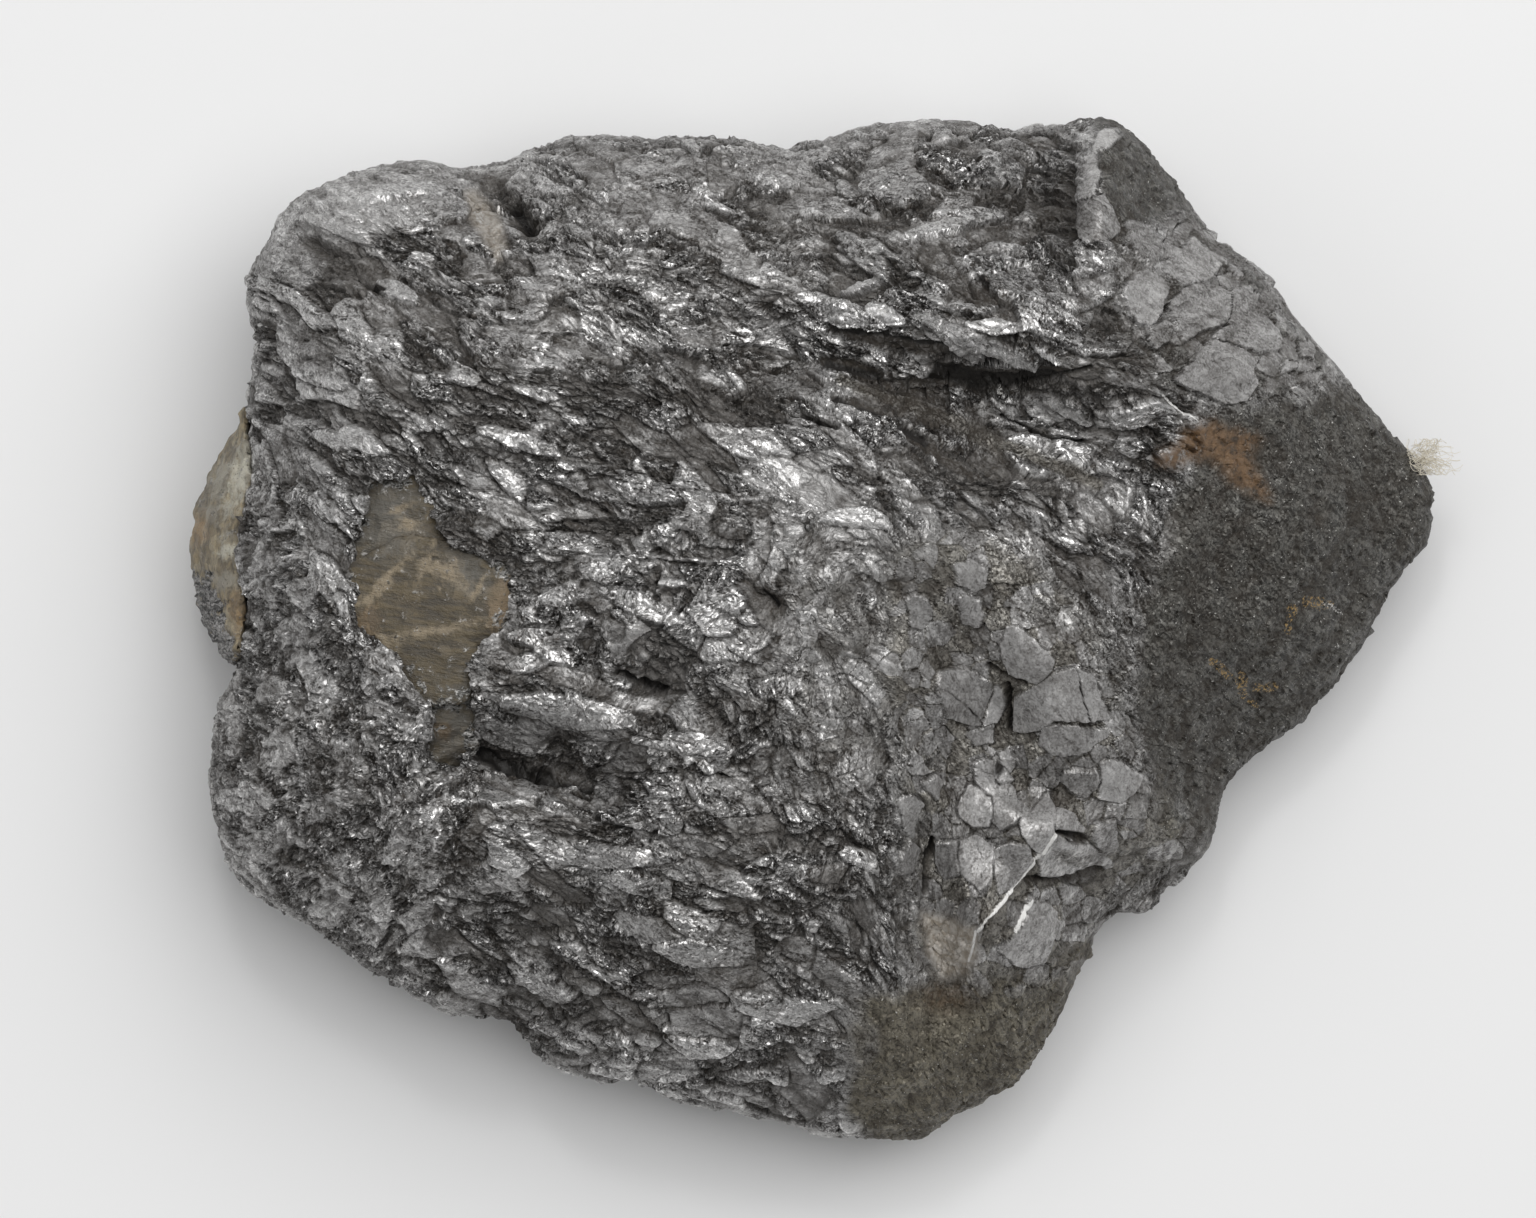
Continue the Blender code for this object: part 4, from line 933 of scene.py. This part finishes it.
def millimetres(tree):
    return vectorMath("SCALE", makeNode(tree, "ShaderNodeTexCoord").outputs["Object"], 1.0 / mm)


def attributes(tree, names):
    return {name: makeNode(tree, "ShaderNodeAttribute", attribute_name=name).outputs["Fac"] for name in names}


def addBump(fine, relief, distance, shader):
    # fine relief on top of the normals that the facets give
    bump = makeNode(relief.id_data, "ShaderNodeBump", in_Strength=1.0, in_Distance=distance)
    link(relief, bump.inputs["Height"])
    link(fine.outputs["Normal"], bump.inputs["Normal"])
    link(bump.outputs[0], shader.inputs["Normal"])


def newGroup(name, inputs, outputs):
    group = bpy.data.node_groups.new(name, "ShaderNodeTree")
    for label, kind, value in inputs:
        socket = group.interface.new_socket(label, in_out="INPUT", socket_type=kind)
        if value is not None:
            socket.default_value = value
    for label, kind in outputs:
        group.interface.new_socket(label, in_out="OUTPUT", socket_type=kind)
    return group, group.nodes.new("NodeGroupInput"), group.nodes.new("NodeGroupOutput")


facetSizes = {  # per millimetre along and across, then how far each facet leans and how wide its gaps are
    "slivers": {"scale": (0.34, 1.20, 1.0), "lean": 0.40, "gap": 0.08, "tone": 0.30},
    "chips": {"scale": (0.75, 2.9, 1.0), "lean": 0.60, "gap": 0.12, "tone": 0.60},
    "hairs": {"scale": (1.0, 5.2, 1.0), "lean": 0.60, "gap": 0.20, "tone": 0.90},
    "flecks": {"scale": (5.0, 5.0, 5.0), "lean": 0.56, "gap": 0.0, "tone": 0.95},
}


def leaningFacets(vector, facets, dimensions):
    # flat facets that each lean their own way: a colour of random numbers, and the gaps between them, which
    # are painted dark as shade
    vector = mapped(vector, "Scale", facets["scale"])
    colour = cellTexture(vector, 1.0, voronoi_dimensions=dimensions)["Color"]
    if not facets["gap"]:
        return colour, None
    edge = cellTexture(vector, 1.0, voronoi_dimensions=dimensions, feature="DISTANCE_TO_EDGE")["Distance"]
    return colour, remap(edge, 0.0, facets["gap"], 1.0, 0.0)


def makeGrainGroup():
    # the cleaved skin of the graphite: slivers, chips and flecks that each catch the light differently
    tree, ins, outs = newGroup("bladeGrain", [
        ("Grain", "NodeSocketVector", None), ("Place", "NodeSocketVector", None),
        ("Blades", "NodeSocketFloat", 1.0), ("Flecks", "NodeSocketFloat", 1.0)],
        [("Normal", "NodeSocketVector"), ("Tone", "NodeSocketFloat"), ("GapShade", "NodeSocketFloat")])
    wander = makeNode(tree, "ShaderNodeTexNoise", in_Scale=0.9, in_Detail=2.0, in_Roughness=0.6)
    link(ins.outputs["Place"], wander.inputs["Vector"])
    wander = vectorMath("SCALE", wander.outputs["Color"], 1.3)  # so that no facet has straight sides
    bent = vectorMath("ADD", ins.outputs["Grain"], wander)
    normal, tone, gap = makeNode(tree, "ShaderNodeNewGeometry").outputs["Normal"], 0.0, 0.0
    for name, facets in facetSizes.items():
        where, much, dimensions = bent, ins.outputs["Blades"], "2D"
        if name == "flecks":
            where, much, dimensions = ins.outputs["Place"], ins.outputs["Flecks"], "3D"
        colour, between = leaningFacets(where, facets, dimensions)
        centred = vectorMath("SUBTRACT", colour, (0.5, 0.5, 0.5))
        normal = vectorMath("ADD", normal, vectorMath("SCALE", centred, times(much, facets["lean"])))
        tone = plus(tone, times(minus(channels(colour)[2], 0.5), facets["tone"]))
        if between:
            # the gaps between facets are painted dark as shade
            gap = larger(gap, times(between, much))
    link(vectorMath("NORMALIZE", normal), outs.inputs["Normal"])
    link(tone, outs.inputs["Tone"])
    link(gap, outs.inputs["GapShade"])
    return tree


def facetNode(grain, place, blades, flecks):
    # the group above with its four inputs: how strong the blades and the flecks are, from 0 to 1
    made = makeNode(grain.id_data, "ShaderNodeGroup", node_tree=groups["bladeGrain"])
    for name, source in (("Grain", grain), ("Place", place), ("Blades", blades), ("Flecks", flecks)):
        link(source, made.inputs[name])
    return made


graphite = {
    # crack is near black: painted shade in gaps, crevices and round plates
    "dark": (0.066, 0.060, 0.055), "light": (0.82, 0.81, 0.80), "crack": (0.014, 0.012, 0.010),
    # glint is the colour of painted glints
    "grainDark": (0.022, 0.020, 0.017), "grainLight": (0.175, 0.170, 0.155), "glint": (0.62, 0.61, 0.58),
    # dust is the colour of dust and painted shade in the hollows
    "brownDark": (0.046, 0.040, 0.030), "brownLight": (0.215, 0.195, 0.150), "dust": (0.040, 0.032, 0.024),
    "rust": (0.078, 0.045, 0.022), "paleRust": (0.150, 0.090, 0.046), "quartz": (0.53, 0.50, 0.46),
    # ridgeHighlight is the colour of painted highlights along ridges
    "quartzDeep": (0.27, 0.235, 0.19), "ridgeHighlight": (0.75, 0.74, 0.72), "yellow": (0.30, 0.20, 0.080),
    # whiteAndGlint is the colour of white specks and painted glints
    "whiteAndGlint": (0.46, 0.45, 0.43), "metallic": 0.85, "bladeBump": 0.10, "fleckBump": 0.03, "scratchTurn": 48.0,
}
graphiteNoise = {  # size per millimetre, detail, roughness, and stretch along and across
    "streak": (1.0, 4.0, 0.65, (0.25, 2.2, 1.0)), "scratch": (1.0, 4.0, 0.7, (0.45, 3.0, 1.0)),
    "blotch": (0.33, 4.0, 0.6), "mottle": (1.1, 4.0, 0.65), "flecks": (2.6, 4.0, 0.75),
    "glint": (3.4, 1.0, 0.5), "scatter": (3.4, 2.0, 0.6), "specks": (4.0, 2.0),
}
graphiteRanges = {  # from and to, then what they become where that isn't 0 and 1
    "calmBlades": (0.0, 1.0, 1.0, 0.45), "calmTone": (0.0, 1.0, 1.0, 0.6), "plateTone": (0.0, 1.0, 1.0, 0.4),
    "flecks": (0.38, 0.68), "scratch": (0.40, 0.66), "brown": (0.1, 0.7), "glint": (0.72, 0.76),
    "dustAndShade": (0.74, 1.08, 0.0, 0.85), "crack": (0.3, 0.8), "mottle": (0.35, 0.62),
    "rust": (0.0, 0.5, 0.45, 1.0), "scatter": (0.50, 0.60), "speck": (0.35, 0.6),
    "gloss": (-0.4, 0.4, 0.50, 0.31),
}
graphiteMarks = ("tone", "hollow", "plate", "granular", "calm", "rust", "quartz", "ridgeHighlight", "yellow", "whiteAndGlint",
                 "brown", "crack")


def makeGraphite():
    made, tree, shader = newMaterial("graphite")
    grain = makeNode(tree, "ShaderNodeUVMap", uv_map="grain").outputs[0]
    place = millimetres(tree)
    turned = mapped(place, "Rotation", (0.0, 0.0, math.radians(graphite["scratchTurn"])))
    told = attributes(tree, graphiteMarks)

    def noise(kind, vector=place):
        return scaledNoise(vector, *graphiteNoise[kind])

    def ranged(kind, value):
        return remap(value, *graphiteRanges[kind])

    # facets: strong on the blades, weak where the skin is calm, a plate or crumbly
    still = larger(told["plate"], told["granular"])
    bladed = minus(1.0, times(still, 0.96), clamp=True)
    bladed = times(bladed, ranged("calmBlades", told["calm"]))
    flecked = minus(1.0, larger(times(told["plate"], 0.7), times(told["calm"], 0.85)), clamp=True)
    fine = facetNode(grain, place, bladed, flecked)
    facetTone = fine.outputs["Tone"]

    # bright and dark metal, streaked along the grain
    streak = noise("streak", grain)
    blotch = noise("blotch")
    loose = plus(facetTone, times(minus(streak, 0.5), 0.6))
    loose = times(loose, ranged("calmTone", told["calm"]))
    loose = times(loose, ranged("plateTone", told["plate"]))
    colour = mixColour(plus(told["tone"], loose, clamp=True), graphite["dark"], graphite["light"])

    # matt crumbs, grey or brown, with a few painted glints
    scratch = ranged("scratch", noise("scratch", turned))
    matt = times(plus(ranged("flecks", noise("flecks")), scratch), 0.42)
    matt = plus(matt, times(facetTone, 0.7))
    matt = plus(matt, minus(told["tone"], 0.5), clamp=True)
    grey = mixColour(matt, graphite["grainDark"], graphite["grainLight"])
    brown = mixColour(matt, graphite["brownDark"], graphite["brownLight"])
    patchy = plus(told["brown"], minus(blotch, 0.55))
    matt = mixColour(ranged("brown", patchy), grey, brown)
    # painted glints: small light spots mixed into the colour
    matt = mixColour(ranged("glint", noise("glint")), matt, graphite["glint"])
    colour = mixColour(told["granular"], colour, matt)

    # dust and painted shade in the hollows, painted shade in the cracks
    # darker and browner where the skin lies low: dust and painted shade
    dustAndShade = ranged("dustAndShade", plus(told["hollow"], times(blotch, 0.7)))
    colour = mixColour(dustAndShade, colour, graphite["dust"])
    # painted shade: near black in the gaps between facets, along crevices and round plates
    cracked = larger(times(fine.outputs["GapShade"], 0.85), ranged("crack", told["crack"]))
    colour = mixColour(cracked, colour, graphite["crack"])

    # rust, quartz, the painted highlights along ridges and the small specks, some of them painted glints
    mottled = ranged("mottle", noise("mottle"))
    rust = times(told["rust"], ranged("rust", mottled))
    colour = mixColour(rust, colour, mixColour(mottled, graphite["rust"], graphite["paleRust"]))
    quartz = mixColour(mottled, graphite["quartz"], graphite["quartzDeep"])
    colour = mixColour(told["quartz"], colour, quartz)
    stainsAndHighlights = larger(rust, told["quartz"])
    scattered = ranged("scatter", noise("scatter"))
    for kind in ("ridgeHighlight", "yellow", "whiteAndGlint"):
        share = ranged("speck", plus(told[kind], times(minus(mottled, 0.5), 0.35)))
        if kind != "ridgeHighlight":
            share = times(share, scattered)
        colour = mixColour(share, colour, graphite[kind])
        stainsAndHighlights = larger(stainsAndHighlights, share)
    link(colour, shader.inputs["Base Color"])

    # bare graphite is metallic and glossy; stained, crumbly, dusty and shaded places, and the painted
    # highlights and specks, are dull
    dull = larger(stainsAndHighlights, times(told["granular"], 0.6))
    dull = larger(dull, times(told["plate"], 0.45))
    bare = minus(1.0, larger(dustAndShade, dull))
    link(times(bare, graphite["metallic"]), shader.inputs["Metallic"])
    rough = plus(ranged("gloss", facetTone), times(dustAndShade, 0.3))
    link(plus(rough, times(still, 0.08), clamp=True), shader.inputs["Roughness"])
    lean = times(times(streak, bladed), graphite["bladeBump"])
    relief = plus(lean, times(noise("specks"), graphite["fleckBump"]))
    addBump(fine, relief, mm, shader)
    return made


# Spread, rise, step and rough are millimetres of growth sideways and upward, of the cleaved steps and of
# the roughness. Spots are place, reach along and across, and degrees. Graphite coats what is off the body.
minerals = {
    "feldsparBlock": {
        "node": "feldspar_inclusion", "slot": "feldspar", "turn": -8.0, "roughness": 0.5,
        "spread": 1.3, "stretch": (0.35, 1.5, 1.0), "rise": 0.30, "cuts": 4, "step": 0.22, "rough": 0.16,
        "base": (0.108, 0.085, 0.050), "deep": (0.066, 0.056, 0.042), "pale": (0.27, 0.22, 0.150),
        "orange": (0.170, 0.120, 0.070), "grey": (0.118, 0.111, 0.096), "smear": (0.060, 0.058, 0.052),
        "gleam": (0.58, 0.57, 0.55),
        "body": [(-45.4, 2.4), (-45, 9), (-43.2, 14), (-39.4, 14), (-37.6, 8.6), (-35.7, 7.8), (-30.5, 4.5),
                 (-31.5, 1.6), (-32.9, -1.2), (-33.6, -5), (-34.2, -13), (-38, -14), (-38.2, -6.4),
                 (-44.7, -1)],
        "spots": [("pale", -43.6, 3.4, 2.0, 0.5, 40), ("pale", -38.0, -0.4, 5.0, 0.35, 10),
                  ("pale", -37.0, 5.4, 2.4, 0.9, -30), ("orange", -31.6, 2.0, 0.8, 2.6, -10),
                  ("orange", -44.0, 0.6, 0.9, 1.8, 0), ("pale", -42.6, -1.2, 1.0, 0.5, -35),
                  ("pale", -40.4, 10.2, 0.9, 0.6, 0), ("orange", -37.0, -10.2, 0.7, 0.8, 0),
                  ("grey", -42.2, 10.4, 3.0, 3.8, 10), ("grey", -36.0, -10.0, 2.2, 4.0, 0),
                  ("grey", -34.6, 5.0, 2.6, 1.6, -35), ("pale", -42.0, 5.4, 2.8, 0.30, 40),
                  ("pale", -38.6, 6.4, 1.8, 0.28, 62), ("pale", -36.4, 5.2, 1.7, 0.28, 58),
                  ("pale", -33.6, 3.6, 1.6, 0.28, 62), ("pale", -41.0, 11.8, 1.4, 0.28, 20),
                  ("smear", -36.0, -7.3, 2.8, 0.9, 4), ("smear", -34.2, -11.6, 0.9, 1.8, 0),
                  ("smear", -38.6, -9.6, 0.8, 1.8, 20)]},
    "feldsparWedge": {
        "node": "feldspar_wedge", "slot": "weathered_feldspar", "turn": 80.0, "roughness": 0.55,
        "spread": 0.4, "stretch": (0.5, 1.3, 1.3), "rise": 0.0, "cuts": 3, "step": 0.42, "rough": 0.34,
        "base": (0.320, 0.262, 0.165), "deep": (0.110, 0.092, 0.066), "pale": (0.52, 0.50, 0.42),
        "orange": (0.31, 0.215, 0.115), "grey": (0.28, 0.26, 0.215), "smear": (0.045, 0.044, 0.042),
        "gleam": (0.45, 0.44, 0.43),
        "body": [(-80.0, 6.4), (-80.0, 30.0), (-40.0, 30.0), (-40.0, -4.0), (-56.6, -4.0), (-58.4, -1.6),
                 (-59.0, 2.6), (-60.4, 5.4)],
        "spots": [("pale", -57.2, 16.0, 0.9, 4.6, -18), ("grey", -59.4, 14.4, 0.9, 3.0, -24),
                  ("grey", -60.4, 11.4, 1.4, 1.0, 0), ("orange", -61.6, 9.6, 0.9, 1.6, 0),
                  ("pale", -58.6, 7.6, 0.9, 0.7, 0), ("grey", -59.0, 4.6, 1.4, 0.9, 0),
                  ("orange", -57.6, 1.0, 0.7, 2.2, 10)]},
}
mineralMarks = ("pale", "orange", "grey", "smear")
mineralSkin = {"longestEdge": 0.45, "layers": (0.22, 0.8, 0.8), "layerSteps": 3.0, "coatRelief": 0.6,
               "lowest": 0.3, "bump": 0.35, "crisp": 30.0, "blockSize": 0.5, "coatMetal": 0.8}
mineralNoise = {"grain": (1.0, 5.0, 0.65), "mottle": (0.9, 5.0, 0.7), "specks": (3.2, 3.0, 0.6)}
mineralRanges = {
    "grain": (0.40, 0.58), "cloud": (0.35, 0.65, -0.35, 0.35), "patch": (0.20, 0.80, 0.0, 0.92),
    "darkBlock": (0.5, 1.0, 0.0, 0.5), "paleBlock": (0.5, 0.0, 0.0, 0.22), "specks": (0.60, 0.68, 0.0, 0.8),
    "coated": (0.35, 0.65), "coat": (-0.45, 0.75),
}


def makeMineral(name, mineral):
    made, tree, shader = newMaterial(name)
    place = millimetres(tree)
    turned = mapped(place, "Rotation", (0.0, 0.0, math.radians(-mineral["turn"])))
    told = attributes(tree, mineralMarks)

    def ranged(kind, value):
        return remap(value, *mineralRanges[kind])

    # grain along the cleavage, cloudy patches, cleaved blocks and dark specks
    grain = scaledNoise(turned, *mineralNoise["grain"], mineral["stretch"])
    mottle = scaledNoise(place, *mineralNoise["mottle"])
    colour = mixColour(ranged("grain", grain), mineral["deep"], mineral["base"])
    cloud = ranged("cloud", mottle)
    for kind in ("grey", "orange", "pale"):
        colour = mixColour(ranged("patch", plus(told[kind], cloud)), colour, mineral[kind])
    cut = channels(cellTexture(turned, mineralSkin["blockSize"], distance="CHEBYCHEV")["Color"])[0]
    colour = mixColour(ranged("darkBlock", cut), colour, mineral["deep"])
    colour = mixColour(ranged("paleBlock", cut), colour, mineral["pale"])
    specks = ranged("specks", scaledNoise(place, *mineralNoise["specks"]))
    colour = mixColour(specks, colour, mineral["deep"])

    # a thin coat of graphite
    coated = ranged("coated", plus(told["smear"], times(cloud, 1.6)))
    fine = facetNode(place, place, coated, coated)
    coat = mixColour(ranged("coat", fine.outputs["Tone"]), mineral["smear"], mineral["gleam"])
    link(mixColour(coated, colour, coat), shader.inputs["Base Color"])
    link(times(coated, mineralSkin["coatMetal"]), shader.inputs["Metallic"])
    shader.inputs["Roughness"].default_value = mineral["roughness"]
    addBump(fine, plus(grain, mottle), mineralSkin["bump"] * mm, shader)
    return made


def makeMineralPiece(name, mineral):
    # a stepped piece of feldspar, grown a little sideways so that it meets the graphite round it
    shape = copyOfNode(mineral["node"])
    for _ in range(mineral["cuts"]):
        halveEdges(shape, mineralSkin["longestEdge"])
    evenOut(shape)
    obj = objectFrom(name, shape)
    points, normals = meshPoints(obj.data), meshNormals(obj.data)
    turn, steps = Matrix.Rotation(math.radians(-mineral["turn"]), 3, "Z"), mineralSkin["layerSteps"]
    stepped = np.round(steps * noiseAt((points @ np.array(turn).T) * mineralSkin["layers"], 1.0, 4.0)) / steps
    height = mineral["step"] * stepped + mineral["rough"] * noiseAt(points, 0.9, 8.0)
    plan = points[:, :2] - middle
    coated = smoothStep(0.5, -0.9, insideBy(plan, mineral["body"]) + 0.9 * noiseAt(points, 1.4, 2.0))
    run = runAt(plan)[0]
    for kind in ("splinters", "slivers"):
        found = cellAt(plan, run, cells[kind])
        height += mineralSkin["coatRelief"] * coated * cleavedHeight(found, cellSets[kind])
    upper = smoothStep(1.0, 3.0, points[:, 2] - points[:, 2].min())[:, None]
    sideways = mineral["spread"] * upper * (1.0 - np.abs(normals[:, 2:3])) * (1.0, 1.0, 0.0)
    points = points + normals * (height[:, None] + sideways)
    points[:, 2] = np.maximum(points[:, 2] + mineral["rise"] * upper[:, 0], mineralSkin["lowest"])
    movePoints(obj.data, points)
    for kind in mineralMarks:
        value = np.zeros(len(points))
        for what, x, y, reach, width, turn in mineral["spots"]:
            if what == kind:
                value = np.maximum(value, np.exp(-0.7 * fromSpot(plan, x, y, reach, width, turn)))
        if kind == "smear":
            value = np.maximum(value, coated)
        setAttribute(obj.data, kind, value)
    obj.data.materials.append(materials[name])
    obj.data.shade_smooth()
    obj.data.set_sharp_from_angle(angle=math.radians(mineralSkin["crisp"]))
    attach(obj, "root")
    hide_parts(mineral["node"])
    print(name + ":", len(obj.data.polygons), "faces")


lint = {"fibres": 110, "thick": 0.024, "rooted": 1.3, "steps": 12, "bend": 0.30, "seed": 41,
        "colour": (0.72, 0.67, 0.56), "roughness": 0.9}


def makeLint():
    # a soft tuft of loose fibres caught on the tip
    low, high = (np.array(corner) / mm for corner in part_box("lint_wisp"))
    low, high = low + 2.0 * lint["thick"], high - 2.0 * lint["thick"]
    low[0] -= lint["rooted"]
    dice = np.random.default_rng(lint["seed"])
    curve = bpy.data.curves.new("lint", "CURVE")
    curve.dimensions, curve.bevel_depth, curve.bevel_resolution = "3D", lint["thick"] * mm, 0
    curve.use_fill_caps = True
    for _ in range(lint["fibres"]):
        place = low + (high - low) * (dice.uniform(0.0, 0.35), dice.beta(3.0, 3.0), dice.beta(3.0, 3.0))
        heading = np.array([1.0, *dice.normal((-0.2, 0.0), (0.55, 0.30))])
        stride = (high - low)[0] / lint["steps"] * dice.uniform(0.4, 0.95)
        spline = curve.splines.new("POLY")
        spline.points.add(lint["steps"] - 1)
        for point in spline.points:
            point.co = (*place * mm, 1.0)
            heading = heading / np.linalg.norm(heading) + dice.normal(0.0, lint["bend"], 3)
            step = heading / np.linalg.norm(heading) * stride
            heading[(place + step < low) | (place + step > high)] *= -1.0
            place = np.clip(place + step, low, high)
    strands = bpy.data.objects.new("lint", curve)
    bpy.context.scene.collection.objects.link(strands)
    bpy.context.view_layer.update()
    mesh = bpy.data.meshes.new_from_object(strands)
    bpy.data.objects.remove(strands)
    obj = bpy.data.objects.new("lintFibres", mesh)
    bpy.context.scene.collection.objects.link(obj)
    fluff, _, shader = newMaterial("lint")
    shader.inputs["Base Color"].default_value = (*lint["colour"], 1.0)
    shader.inputs["Roughness"].default_value = lint["roughness"]
    mesh.materials.clear()
    mesh.materials.append(fluff)
    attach(obj, "root")
    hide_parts("lint_wisp")
    print("lintFibres:", len(mesh.polygons), "faces")


makeCamera()
makeStage()
groups = {"bladeGrain": makeGrainGroup()}
materials = {"graphite": makeGraphite()}
cells = {name: makeCells(settings) for name, settings in cellSets.items()}
for name, mineral in minerals.items():
    materials[name] = makeMineral(name, mineral)
    makeMineralPiece(name, mineral)
makeLint()
makeLump()
